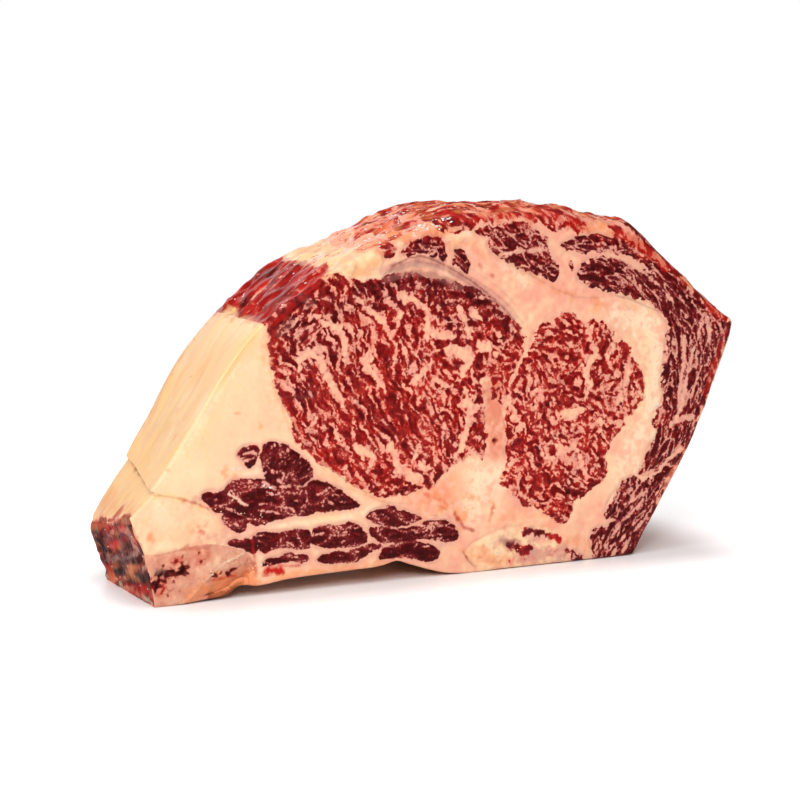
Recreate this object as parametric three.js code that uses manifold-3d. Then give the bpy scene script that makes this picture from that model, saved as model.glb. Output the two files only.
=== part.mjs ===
// A raw beef rib roast, one rib thick, standing on its bone edge.
//
// The roast is a slab cut straight across the animal's back, so its tissues run through from the
// front cut to the back cut: the fat, the muscles that lie in it, the rib and the tip of the spine.
// Every outline is drawn on the front cut, in millimetres, x along the roast and z up, with x = 0 at
// the corner of the sawn rib and z = 0 on the board.  Outlines run counter-clockwise seen from the
// front.  y is the depth, from the front cut at -thickness / 2 to the back cut.

import * as THREE from 'three';
import Module from 'manifold-3d';

const wasm = await Module();
wasm.setup();

// ---------------------------------------------------------------- driving dimensions, millimetres

const thickness = 56;
const seam = 0.3;             // clearance between two tissues
const overrun = 2;            // how far a tissue's prism passes both cuts before it is trimmed
const longestChord = 5.5;     // a longer step of an outline is split along its curve

// Towards the back cut the tissues left of x = 110 lie further right, by all of this left of x = 50.
const drift = { atBack: 2.6, full: 50, none: 110 };

// The sawn end of the rib falls away towards the back cut: by all of this above z = 35.
const fallAway = { atBack: -9, none: 20, full: 35 };

// The rim: how far the cut's edge is rounded in from the side, and how deep that rounding runs.
const rim = {
  bone: { inset: 0.5, depth: 1.5 },
  cap: { inset: 0.7, depth: 2 },
  base: { inset: 0.8, depth: 2.5 },
  side: { inset: 1.6, depth: 4 },
  bare: { inset: 2.4, depth: 6 },
  shoulder: { inset: 4.6, depth: 9 },
  crown: { inset: 6.4, depth: 15 },
};
const rimStations = [0, 0.06, 0.2, 0.45, 1];   // shares of the deepest rim, from the cut inwards
const rimBlend = [0.25, 0.5, 0.25];            // a corner's rim, mixed with its two neighbours'
const sharpestCorner = 0.6;                    // keeps the normal of a sharp corner short

// A small vessel is cut across in the fat between the two large muscles, a hole that narrows inwards.
const vessel = { x: 147.7, z: 54, mouth: 1.6, end: 0.4, depth: 5, sides: 10 };

// The rib's saw cut ends along this line; beyond it the bone's own skin curves away.
const flake = {
  line: [[11, -1], [18, 6], [23, 10.8], [29, 14.8], [38, 18]],
  slope: [9, -9],             // the way from the line to where the skin is this deep
  depth: 2.5,
  reach: [40, -40],
};

const finish = {
  fat: { color: 0xf0cfa4, roughness: 0.45 },
  freshLean: { color: 0x8f2226, roughness: 0.5 },
  oxidisedLean: { color: 0x5d1a20, roughness: 0.5 },
  darkLean: { color: 0x4c1519, roughness: 0.5 },
  rib: { color: 0xd9a98b, roughness: 0.7 },
  spine: { color: 0xe6c3a2, roughness: 0.6 },
};

// ---------------------------------------------------------------------------- the outer outline

// A corner is [x, z], or [front x, front z, back x, back z] where it shifts through the depth.

// The left side: the fat cap's edge, the torn step where its upper layer ends, and the sawn end of
// the rib.
const capSide = [
  [47, 107.5, 49, 107.2], [40, 101, 43.2, 101.6], [34, 94, 37.2, 95], [27, 84.5, 31.2, 87],
  [20, 74, 25.4, 77.4], [12.5, 63, 18.9, 65.4], [5.5, 52.5, 13.2, 56.4],
  [-0.6, 44.8, 9.8, 50.2], [0.6, 44, 11, 49.2], [-4.2, 39.5, 4.4, 40.9],
];
const sawnEnd = [
  [-9.5, 35.5, -5.4, 27], [-8.4, 30.5, -6.2, 23], [-5.8, 25, -5.4, 17.5],
  [-3.6, 19, -4, 12.5], [-2, 12, -2.4, 8.5], [-1, 5, -0.4, 4],
];

// The base: the foot of the rib, the arch under it and the long foot of the spine side.
const foot = [[0, 0], [8, 0]];
const arch = [
  [20, 0.7], [31, 2.2], [35, 4.6], [43, 3.9], [55, 5.2], [70, 5.8], [86, 6.2], [97, 6.9],
  [103, 8], [110, 5.8], [118, 3], [126, 0.8],
];
const longFoot = [[133, 0], [152, 0], [172, 0], [193, 0], [215.4, 0]];

// The right side, up to the tip.
const rightSide = [
  [218.6, 4], [221.6, 9], [225.2, 14], [231.4, 24], [237.8, 34], [243.8, 44], [248.8, 54.2],
  [253.6, 64.2], [257.4, 74.2], [261.6, 84.2], [265, 93.4],
];
const tip = [[264.9, 98.4], [261, 101.4]];

// The slope from the tip up to the crown, the crown, and the slope down to the fat cap.
const slope = [
  [254.2, 107.4], [249.2, 111.6], [243.6, 117], [237.2, 122], [231.6, 126.8], [230, 128],
  [224.8, 132.2], [219, 137.2], [212, 142.4],
];
const crown = [
  [207.4, 143.4], [200.4, 144.1], [190.2, 146.2], [182, 148.8, 182, 147.2],
  [176, 149.6, 176, 147.8], [168, 148.8], [155, 149], [141, 148.8], [128, 147.4],
];
const crownEnd = [[117, 144.2], [108.6, 140.8], [99.4, 136.8]];
const bareSlope = [[89.4, 132.6], [79.4, 128.6], [71.4, 124.2], [64.4, 119.8], [56.6, 114.6]];

// ------------------------------------------------------------------------- the tissues' outlines

// The large eye muscle.  Its upper left end reaches out through the bare slope.
const eyeMuscle = [
  [47.6, 104], [48, 98], [49, 91], [50, 85], [51.4, 80], [53.6, 75], [55.5, 70], [57, 65],
  [59.2, 60], [62.4, 56], [66.5, 52], [71, 49], [75.5, 46.2], [80, 43], [85, 40.4], [89.5, 37.8],
  [93, 35.8], [97.5, 34.6], [104, 34.4], [110, 34.8], [114, 36.4], [118.5, 35.8], [121.3, 38.6],
  [124.5, 42], [129, 45.4], [133.5, 47.6], [137.5, 49.2], [141.4, 46.2], [143.2, 51],
  [143.6, 57], [143.2, 63], [143.6, 68], [147, 71.2], [150.6, 75.4], [154.4, 79], [157.4, 83.4],
  [160.4, 88], [161.4, 93], [160.4, 97.4], [157.8, 101.4], [154, 105], [149, 109], [144, 113],
  [139, 116], [133.5, 118.2], [127, 119.8], [120, 121], [113, 122.6], [106, 124.2],
  [100.5, 123.6], [96, 122.2], [90, 121.6], [83.5, 121.8], [79, 123.6], [75.5, 124.6],
  [72.5, 123], [71.8, 126], [60, 124], [44, 112], [44.6, 107.8],
];

// The round muscle beside it.
const innerMuscle = [
  [150, 35.6], [153.4, 33.6], [156.4, 30.6], [159.4, 28.2], [163, 25.8], [168, 24.6],
  [171, 22.2], [175, 19.6], [177.2, 17.4], [181, 16.8], [184, 18.4], [185, 22], [186.4, 25.8],
  [191, 27.8], [195, 30], [199.4, 32.6], [202, 35.6], [202, 39], [201.4, 43], [203, 48],
  [206.4, 52], [209.6, 55.6], [211, 60.8], [215, 61.6], [218.4, 64.6], [220.6, 68],
  [220.8, 72.4], [219.4, 76], [217.8, 80], [215.8, 83.8], [212.4, 85.4], [212.6, 89],
  [209.8, 91.8], [205.8, 91.4], [203.6, 93.4], [205.6, 95.6], [202, 97], [199.6, 99.6],
  [194.4, 100.9], [189.6, 100.6], [187, 101.6], [185.4, 104.4], [179.4, 104.8], [175.4, 102.4],
  [171, 101], [167.4, 99], [165, 95.6], [164.2, 91], [161.6, 87.2], [159.4, 82.8],
  [156.6, 78], [152.8, 74.4], [149.4, 71.4], [151, 66], [152.4, 60], [153.6, 55], [153, 49],
  [153.4, 44], [152, 39.6],
];

// The cap, the band of muscle round the outside, in two parts with a seam of fat between them.  The
// upper part is forked by a tongue of fat, and its outer fork is bare along the slope.
const capMuscleUpper = [
  [218, 34.8], [222, 34.2], [226.6, 35.6], [230.6, 38.6], [234.4, 41.8], [238, 44.6],
  [241.4, 48.2], [243.8, 53], [246, 57.6], [248.6, 62.6], [251, 68.4], [253, 74], [255.4, 80],
  [257.4, 85.4], [260, 90], [261, 95], [258, 98.4], [252, 103], [246.4, 107.8], [241, 112.6],
  [237, 116.4], [239, 121], [208, 147], [203.2, 141], [206.8, 136.8], [203.4, 134.6],
  [196, 136.8], [189, 136], [183, 134.8], [178.6, 133.2], [182, 130.8], [187.4, 129.2],
  [194, 130], [201, 129.4], [208, 127.8], [213.4, 126.6], [218, 123.8], [222.4, 120.8],
  [217.4, 120.8], [213, 123.6], [207.6, 125.4], [201, 127.6], [195, 127], [190.4, 125.6],
  [187.4, 122], [186.4, 119], [190, 117], [195, 115], [200.6, 113], [207, 111.8], [212.4, 110.6],
  [217, 109], [221.6, 108.4], [225.4, 105.6], [228.4, 101.8], [231.8, 98.4], [231.2, 92.4],
  [230.8, 86], [230, 79], [229, 72.4], [230.8, 67.4], [228, 62.2], [224.8, 57], [227.4, 53],
  [225, 49], [222.2, 44.4], [220.8, 39.4],
];
const capMuscleLower = [
  [193.6, -overrun], [211, -overrun], [212.6, 3], [215.6, 8.8], [219, 13], [223, 17.4],
  [226.4, 22], [229.8, 27], [233.2, 32.4], [236, 37.4], [234.8, 39], [232, 36.8], [228.4, 34.2],
  [223.4, 32.2], [220.4, 29.8], [218.6, 31.8], [214.4, 33.4], [210, 32], [207.6, 29],
  [204, 25.2], [202, 21.4], [201.6, 17.6], [204.6, 15.4], [201, 12.8], [197.6, 13.4],
  [195, 11.4], [194.4, 6.6], [195, 3],
];

// The muscles of the crown.  The outer one is a thin sheet that is bare on top.
const topMuscleOuter = [
  [119.6, 144.2], [122.6, 141.4], [127, 140], [132, 139.8], [137, 142.4], [144, 143],
  [150.6, 143.4], [157, 145], [163, 144], [170, 141.6], [173.6, 139.2], [179, 138.4],
  [185, 139.4], [189, 141.2], [195, 141], [196, 150], [174, 154], [119, 152],
];
const topMuscleMiddle = [
  [144, 133], [146.6, 130.6], [151, 128], [155.6, 125.6], [160, 123.4], [166, 121], [171, 120],
  [174.6, 117.8], [177.2, 119.6], [176.8, 124], [174, 128.2], [172.2, 132], [172.4, 135.4],
  [168, 138.2], [162.6, 141.6], [157, 143.2], [150, 141.6], [143, 141.2], [137.8, 140],
  [141, 138], [145.4, 136.4],
];
const topMuscleSmall = [
  [127.6, 126.8], [131, 125], [135.4, 123], [136.2, 125], [134.8, 128.6], [132.6, 131.8],
  [129.4, 132.8], [129, 129.6],
];
const topMuscleLeft = [
  [105, 130.6], [109, 131], [113, 131.4], [117.4, 130.2], [120.4, 128.8], [123.4, 127.8],
  [125, 131], [124.4, 135], [121, 137], [116.6, 137.8], [112, 136.2], [107.4, 134.2],
];
const topMuscleTip = [
  [98.4, 130], [101.4, 130.4], [102, 133.4], [101, 136.4], [97.4, 137.2], [93.6, 136.6],
  [95.6, 133.4],
];

// The dark muscles between the ribs.
const ribMuscleMain = [
  [19.4, 41.6], [22.6, 37.6], [24.8, 35], [28, 34.6], [31.6, 35], [35.6, 34], [37.8, 31.8],
  [39.6, 29], [43.4, 28.2], [48, 29], [53, 29.8], [58, 30.6], [63, 30.2], [69, 31.2], [75, 31],
  [80, 31.4], [86.4, 32.2], [83, 34.6], [79.4, 37.6], [75.4, 40.6], [70.6, 42.8], [66.6, 43.8],
  [63, 41.4], [57.6, 42], [52, 41.6], [48.4, 44], [44.6, 46], [37.6, 46.2], [31.4, 45.8],
  [29.6, 43.6], [27, 42], [22, 43],
];
const ribMuscleUpper = [
  [46.2, 47], [50, 43.4], [56, 43.2], [62, 42.6], [66, 45], [66.4, 47.8], [63.6, 51],
  [60, 54.6], [56, 57.8], [51, 59.8], [46.4, 59.8], [44.4, 56.6], [44.8, 52],
];
const ribMuscleIsland = [
  [38, 51.2], [41.6, 52.2], [42.6, 55.4], [43, 58.4], [39.6, 59.4], [36, 58], [34.6, 56],
  [37, 54.4],
];
const ribMuscleOval = [
  [35.6, 25.8], [38.2, 28.2], [37, 30.8], [34.4, 32.8], [30.6, 33.7], [28, 32.8], [29.4, 29.8],
  [32.4, 27.2],
];
const ribMuscleEnd = [
  [29.6, 22.4], [33.6, 20.8], [38, 19], [41.8, 17.2], [42.2, 20.2], [39.6, 22.6], [35, 23.4],
];

// The strips under them, one behind the other along the rib.
const ribStrips = {
  a: [
    [40.6, 24], [43, 20.6], [44.4, 17.2], [47.4, 17.6], [52, 18.6], [57.6, 17.6], [64, 17.2],
    [64.8, 20.6], [63.6, 24.2], [57, 24.7], [50.4, 24.2], [45, 24.8],
  ],
  b: [
    [65.9, 19], [69.4, 16.9], [76, 16.4], [83, 16], [88.6, 17], [89.2, 20], [87, 23.6],
    [83, 25.3], [76, 25.1], [70, 25.2], [66.4, 24],
  ],
  c: [
    [89.4, 27.4], [92.6, 25], [98, 23.3], [103.4, 22.5], [109, 23], [114.6, 24.1], [111, 26.2],
    [105, 28.4], [99.4, 30.7], [94.4, 29.8],
  ],
  d: [
    [90.6, 20.4], [94.6, 17.2], [100, 16.1], [107, 16.1], [114, 16.3], [120, 15.4], [126, 13.9],
    [130.6, 14.8], [130.4, 18], [127, 21.6], [121, 23], [115, 22.4], [109, 20.9], [102, 21.2],
    [96.6, 22.2], [91.6, 23.2],
  ],
  e: [
    [95, 10.6], [99.4, 10], [105, 9.9], [111, 8.4], [116.6, 7.2], [121.6, 8], [122.6, 10],
    [119, 12.8], [113.6, 14.6], [106.6, 14.8], [99.6, 14.4], [96, 13.2],
  ],
  f: [
    [44.6, 12.2], [49.6, 12.1], [55, 13], [60, 12], [65, 12.2], [64, 14.2], [60.6, 14.6],
    [56, 16], [51.6, 14.2], [46.6, 13.9],
  ],
  g: [
    [67.6, 12], [72, 10.4], [78.6, 10], [84.6, 9.5], [89, 11.6], [92.6, 13.6], [96.4, 15.2],
    [92, 16.1], [86, 14.6], [81, 14.2], [74, 14.2],
  ],
};

// The sawn rib, bare at its end and under its foot, and the tip of the spine in the long foot.
const ribBone = [
  [-8, -overrun], [36.6, -overrun], [36.8, 3], [37, 7.4], [40, 10], [41, 13.6], [39, 17],
  [34, 19.4], [28, 21.4], [22, 22.4], [15, 22], [8, 21.1], [1.6, 20.3], [-3, 20.6], [-5.2, 25.6],
  [-7.8, 30.8], [-8.9, 35], [-14, 37.4], [-14, 10],
];
const backboneTip = [
  [143, -overrun], [182, -overrun], [182.2, 3.4], [183.6, 6.2], [180.8, 8.8], [178.8, 12],
  [174, 14.8], [168.4, 16], [162, 15.8], [155.6, 17], [149.6, 16], [143.6, 14.2], [138, 12],
  [134.4, 8.4], [137.4, 4.4], [141.4, 1],
];
const footMuscle = [[184.4, -overrun], [191, -overrun], [190.2, 1.4], [187.4, 4.2], [184.6, 4.4]];

// ------------------------------------------------------------------------------------ functions

const half = thickness / 2;

// A point of an outline carried through the depth: the share is 0 at the front cut, 1 at the back.
function carried([x, z], share) {
  const weight = 1 - THREE.MathUtils.smoothstep(x, drift.full, drift.none);
  return [x + drift.atBack * weight * share, z];
}

function ribCarried([x, z], share) {
  const [carriedX] = carried([x, z], share);
  const weight = THREE.MathUtils.smoothstep(z, fallAway.none, fallAway.full);
  return [carriedX, z + fallAway.atBack * weight * share];
}

function lengthOf([x, z]) {
  return Math.hypot(x, z);
}

// A closed outline through the given points, its long steps split along a smooth curve.
function roundOut(points) {
  const count = points.length;
  const curve = new THREE.CatmullRomCurve3(
    points.map(([x, z]) => new THREE.Vector3(x, 0, z)), true, 'centripetal');
  return points.flatMap((point, i) => {
    const next = points[(i + 1) % count];
    const chord = lengthOf([next[0] - point[0], next[1] - point[1]]);
    const parts = Math.ceil(chord / longestChord);
    return Array.from({ length: parts }, (_, k) => {
      const at = curve.getPoint((i + k / parts) / count);
      return [at.x, at.z];
    });
  });
}

// The outward normal at each corner of a closed outline, longer where the corner is sharp, so that
// moving every corner by it moves every side by one unit.
function cornerNormals(outline) {
  const count = outline.length;
  const sideNormal = (i) => {
    const [ax, az] = outline[(i + count) % count];
    const [bx, bz] = outline[(i + 1) % count];
    const long = lengthOf([bx - ax, bz - az]);
    return [(bz - az) / long, (ax - bx) / long];
  };
  return outline.map((_, i) => {
    const [px, pz] = sideNormal(i - 1);
    const [nx, nz] = sideNormal(i);
    const [sx, sz] = [px + nx, pz + nz];
    const stretch = Math.max(sharpestCorner, (sx * sx + sz * sz) / 2);
    return [sx / stretch, sz / stretch];
  });
}

function grow(outline, distance) {
  const normals = cornerNormals(outline);
  return outline.map(([x, z], i) => [x + normals[i][0] * distance, z + normals[i][1] * distance]);
}

// A closed solid through rings of [x, z] points, each at its own depth y.
function loft(rings) {
  const count = rings[0].points.length;
  const positions = rings.flatMap(({ points, y }) => points.flatMap(([x, z]) => [x, y, z]));
  const triangles = [];
  for (let ring = 0; ring + 1 < rings.length; ring += 1) {
    for (let i = 0; i < count; i += 1) {
      const near = ring * count + i;
      const nearNext = ring * count + ((i + 1) % count);
      triangles.push(near, nearNext + count, nearNext, near, near + count, nearNext + count);
    }
  }
  const cap = (points) => THREE.ShapeUtils.triangulateShape(
    points.map(([x, z]) => new THREE.Vector2(x, z)), []);
  const lastRing = (rings.length - 1) * count;
  cap(rings[0].points).forEach(([a, b, c]) => triangles.push(a, b, c));
  cap(rings.at(-1).points).forEach(([a, b, c]) => {
    triangles.push(lastRing + a, lastRing + c, lastRing + b);
  });
  return new wasm.Manifold(new wasm.Mesh({
    numProp: 3,
    vertProperties: new Float32Array(positions),
    triVerts: new Uint32Array(triangles),
  }));
}

// A tissue's prism, a little longer than the roast is thick.
function tissuePrism(outline, margin, carry) {
  const smooth = grow(roundOut(outline), margin);
  return loft([-half - overrun, half + overrun].map((y) => ({
    y,
    points: smooth.map((point) => carry(point, (y + half) / thickness)),
  })));
}

// The whole roast before the tissues are told apart.
function roastSolid() {
  const stretch = (points, edge) => points.map(([x, z, backX = x, backZ = z]) => (
    { front: [x, z], back: [backX, backZ], edge }));
  const corners = [
    ...stretch(foot, rim.bone), ...stretch(arch, rim.base), ...stretch(longFoot, rim.base),
    ...stretch(rightSide, rim.side), ...stretch(tip, rim.side), ...stretch(slope, rim.shoulder),
    ...stretch(crown, rim.crown), ...stretch(crownEnd, rim.shoulder),
    ...stretch(bareSlope, rim.bare), ...stretch(capSide, rim.cap), ...stretch(sawnEnd, rim.bone),
  ];
  const count = corners.length;
  const blend = (i, key) => rimBlend.reduce((sum, weight, k) => (
    sum + weight * corners[(i + k - 1 + count) % count].edge[key]), 0);
  const insets = corners.map((_, i) => blend(i, 'inset'));
  const depths = corners.map((_, i) => blend(i, 'depth'));
  const deepest = Math.max(...depths);
  const ringAt = (y) => {
    const share = (y + half) / thickness;
    const outline = corners.map(({ front, back }) => [
      THREE.MathUtils.lerp(front[0], back[0], share),
      THREE.MathUtils.lerp(front[1], back[1], share),
    ]);
    const normals = cornerNormals(outline);
    const fromCut = half - Math.abs(y);
    return {
      y,
      points: outline.map(([x, z], i) => {
        const short = Math.max(0, 1 - fromCut / depths[i]);
        const inset = insets[i] * (1 - Math.sqrt(1 - short * short));
        return [x - normals[i][0] * inset, z - normals[i][1] * inset];
      }),
    };
  };
  const front = rimStations.map((station) => -half + station * deepest);
  const stations = [...front, 0, ...front.toReversed().map((y) => -y)];
  return loft(stations.map(ringAt));
}

function vesselHole() {
  const ring = (y, radius) => ({
    y,
    points: Array.from({ length: vessel.sides }, (_, i) => {
      const angle = (2 * Math.PI * i) / vessel.sides;
      return [vessel.x + radius * Math.cos(angle), vessel.z + radius * Math.sin(angle)];
    }),
  });
  return loft([
    ring(-half - overrun, vessel.mouth), ring(-half + vessel.depth, vessel.end)]);
}

// What is missing in front of the bone's skin: a wedge that starts along the flake's line.
function flakeCut() {
  const { line, slope: down, depth, reach } = flake;
  const move = (points, [x, z]) => points.map(([px, pz]) => [px + x, pz + z]);
  const near = line.toReversed();
  const far = move(line, reach);
  return loft([
    { y: -half - overrun, points: [...near, ...far] },
    { y: -half, points: [...near, ...far] },
    { y: -half + depth, points: [...move(near, down), ...far] },
  ]);
}

// A mesh of the largest piece of a solid; the cuts can leave loose scraps.
function tissueMesh(name, solid, { color, roughness }) {
  const [largest] = solid.decompose().toSorted((a, b) => b.volume() - a.volume());
  const { vertProperties, triVerts } = largest.getMesh();
  const geometry = new THREE.BufferGeometry();
  geometry.setAttribute('position', new THREE.BufferAttribute(new Float32Array(vertProperties), 3));
  geometry.setIndex(new THREE.BufferAttribute(new Uint32Array(triVerts), 1));
  const material = new THREE.MeshStandardMaterial({ color, roughness, metalness: 0 });
  const mesh = new THREE.Mesh(geometry, material);
  mesh.name = name;
  return mesh;
}

// -------------------------------------------------------------------------------------- assembly

const tissues = [
  { name: 'eye_muscle', outline: eyeMuscle, look: finish.freshLean },
  { name: 'inner_muscle', outline: innerMuscle, look: finish.freshLean },
  { name: 'cap_muscle_upper', outline: capMuscleUpper, look: finish.oxidisedLean },
  { name: 'cap_muscle_lower', outline: capMuscleLower, look: finish.oxidisedLean },
  { name: 'top_muscle_outer', outline: topMuscleOuter, look: finish.freshLean },
  { name: 'top_muscle_middle', outline: topMuscleMiddle, look: finish.oxidisedLean },
  { name: 'top_muscle_small', outline: topMuscleSmall, look: finish.freshLean },
  { name: 'top_muscle_left', outline: topMuscleLeft, look: finish.oxidisedLean },
  { name: 'top_muscle_tip', outline: topMuscleTip, look: finish.freshLean },
  { name: 'rib_muscle_main', outline: ribMuscleMain, look: finish.darkLean },
  { name: 'rib_muscle_upper', outline: ribMuscleUpper, look: finish.darkLean },
  { name: 'rib_muscle_island', outline: ribMuscleIsland, look: finish.darkLean },
  { name: 'rib_muscle_oval', outline: ribMuscleOval, look: finish.darkLean },
  { name: 'rib_muscle_end', outline: ribMuscleEnd, look: finish.darkLean },
  ...Object.entries(ribStrips).map(([letter, outline]) => (
    { name: `rib_strip_${letter}`, outline, look: finish.darkLean })),
  { name: 'foot_muscle', outline: footMuscle, look: finish.oxidisedLean },
  { name: 'rib_bone', outline: ribBone, look: finish.rib, carry: ribCarried },
  { name: 'backbone_tip', outline: backboneTip, look: finish.spine },
];

const whole = roastSolid();
let fat = whole.subtract(vesselHole());
const meshes = tissues.map(({ name, outline, look, carry = carried }) => {
  fat = fat.subtract(tissuePrism(outline, seam, carry));
  let solid = whole.intersect(tissuePrism(outline, 0, carry));
  if (name === 'rib_bone') solid = solid.subtract(flakeCut());
  return tissueMesh(name, solid, look);
});

const roast = new THREE.Group();
roast.add(tissueMesh('fat_body', fat, finish.fat), ...meshes);

// The origin is under the middle of the roast, on the board.
const box = new THREE.Box3().setFromObject(roast);
const centre = box.getCenter(new THREE.Vector3());
roast.position.set(-centre.x, -centre.y, -box.min.z);

export default roast;
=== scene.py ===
"""Looks of a raw beef rib roast, one rib thick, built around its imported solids.

The roast is made once as a single closed slab with fine relief, and every tissue is then cut out of
it along the outline of its own solid, so that neighbouring tissues meet without a gap.  All sizes
are in millimetres: x runs along the roast from the corner of the sawn rib, y through its thickness
from the middle, and z up from the board.
"""

import logging
import math
from dataclasses import dataclass, field, replace
from enum import Enum
from functools import partial
from statistics import NormalDist
from typing import Callable, ClassVar, Iterable, Sequence

import bmesh
import bpy
import numpy as np
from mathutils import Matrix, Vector
from mathutils.geometry import delaunay_2d_cdt
from mathutils.kdtree import KDTree


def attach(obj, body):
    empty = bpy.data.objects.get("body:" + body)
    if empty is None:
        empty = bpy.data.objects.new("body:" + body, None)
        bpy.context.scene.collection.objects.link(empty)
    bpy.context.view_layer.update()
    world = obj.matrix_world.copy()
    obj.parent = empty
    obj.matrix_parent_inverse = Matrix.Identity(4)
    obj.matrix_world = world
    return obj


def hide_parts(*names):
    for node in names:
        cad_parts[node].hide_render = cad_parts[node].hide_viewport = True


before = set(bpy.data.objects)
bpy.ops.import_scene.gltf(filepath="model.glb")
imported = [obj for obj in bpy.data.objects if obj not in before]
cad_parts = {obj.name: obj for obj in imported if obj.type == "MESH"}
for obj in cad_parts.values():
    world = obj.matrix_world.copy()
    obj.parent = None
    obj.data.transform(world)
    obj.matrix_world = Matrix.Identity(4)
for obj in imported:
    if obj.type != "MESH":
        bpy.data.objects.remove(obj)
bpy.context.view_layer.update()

LOG = logging.getLogger("rib_roast")
MM = 0.001
BODY = "root"
Corner = tuple[float, ...]
Path = tuple[tuple[float, float], ...]
Array = np.ndarray
Shades = tuple[tuple[float, str], ...]
Socket = bpy.types.NodeSocket


# ------------------------------------------------------------------------------- small tools

def ease(low: float, high: float, value: Array) -> Array:
    """Rises smoothly from 0 at low to 1 at high."""
    share = np.clip((value - low) / (high - low), 0.0, 1.0)
    return share * share * (3.0 - 2.0 * share)


def linear_colour(sheet: str) -> tuple[float, float, float, float]:
    """Turns an sRGB hex colour into the linear one that a shader takes."""
    parts = [int(sheet[i:i + 2], 16) / 255.0 for i in (1, 3, 5)]
    linear = [c / 12.92 if c <= 0.04045 else ((c + 0.055) / 1.055) ** 2.4 for c in parts]
    return (linear[0], linear[1], linear[2], 1.0)


def put(name: str, data: bpy.types.ID) -> bpy.types.Object:
    """Adds an object to the scene."""
    piece = bpy.data.objects.new(name, data)
    bpy.context.scene.collection.objects.link(piece)
    return piece


def smooth_curve(
        points: Array, sharp: Iterable[int], step: float, closed: bool = True) -> tuple[Array, Array]:
    """Splits a line of points along a smooth curve that keeps the chosen corners sharp.

    Args:
        points: the corners, one row each; the first two columns are the ones measured.
        sharp: the numbers of the corners where the line may turn at once.
        step: the wanted distance between two points of the result.
        closed: whether the last corner joins the first.

    Returns:
        The finer points, and for each the number of the corner before it.
    """
    count = len(points)
    spans = count if closed else count - 1
    after = np.roll(points, -1, axis=0) - points
    length = np.maximum(np.linalg.norm(after[:, :2], axis=1), 1e-9)
    out_dir = after / length[:, None]
    in_dir = np.roll(out_dir, 1, axis=0)
    weight = np.roll(length, 1) / (length + np.roll(length, 1))
    tangent = out_dir * weight[:, None] + in_dir * (1.0 - weight[:, None])
    leave, arrive = tangent.copy(), tangent.copy()
    for i in sharp:
        leave[i], arrive[i] = out_dir[i], in_dir[i]
    if not closed:
        leave[0], arrive[-1] = out_dir[0], in_dir[-1]
    fine, owner = [], []
    for i in range(spans):
        j = (i + 1) % count
        parts = max(1, round(length[i] / step))
        t = (np.arange(parts) / parts)[:, None]
        fine.append(
            (2 * t**3 - 3 * t**2 + 1) * points[i] + (t**3 - 2 * t**2 + t) * length[i] * leave[i]
            + (3 * t**2 - 2 * t**3) * points[j] + (t**3 - t**2) * length[i] * arrive[j])
        owner.append(np.full(parts, i))
    if not closed:
        fine.append(points[-1:])
        owner.append(np.array([count - 1]))
    return np.concatenate(fine), np.concatenate(owner)


def outward(loop: Array) -> Array:
    """Unit normals that point out of a counter-clockwise loop of (x, z) points."""
    along = np.roll(loop, -1, axis=0) - np.roll(loop, 1, axis=0)
    normal = np.stack([along[:, 1], -along[:, 0]], axis=1)
    return normal / np.maximum(np.linalg.norm(normal, axis=1, keepdims=True), 1e-9)


def inside(loop: Array, x: Array, z: Array) -> Array:
    """Which of the points lie inside a closed loop."""
    result = np.zeros(len(x), bool)
    low, high = loop.min(0), loop.max(0)
    near = np.flatnonzero((x > low[0]) & (x < high[0]) & (z > low[1]) & (z < high[1]))
    px, pz = x[near], z[near]
    odd = np.zeros(len(near), bool)
    for (ax, az), (bx, bz) in zip(loop, np.roll(loop, -1, axis=0)):
        if az == bz:
            continue
        cross = (az > pz) != (bz > pz)
        odd[cross] ^= px[cross] < (bx - ax) * (pz[cross] - az) / (bz - az) + ax
    result[near] = odd
    return result


def reach_of_path(path: Array, widths: Array, x: Array, z: Array) -> Array:
    """Half the width of a path less the distance to it: above 0 within the path, below outside."""
    best = np.full(len(x), -1e3)
    if len(path) == 1:
        return widths[0] / 2 - np.hypot(x - path[0, 0], z - path[0, 1])
    for a, b, wide_a, wide_b in zip(path[:-1], path[1:], widths[:-1], widths[1:]):
        along = b - a
        share = np.clip(
            ((x - a[0]) * along[0] + (z - a[1]) * along[1]) / max(along @ along, 1e-9), 0.0, 1.0)
        away = np.hypot(x - a[0] - share * along[0], z - a[1] - share * along[1])
        best = np.maximum(best, (wide_a + (wide_b - wide_a) * share) / 2 - away)
    return best


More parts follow.
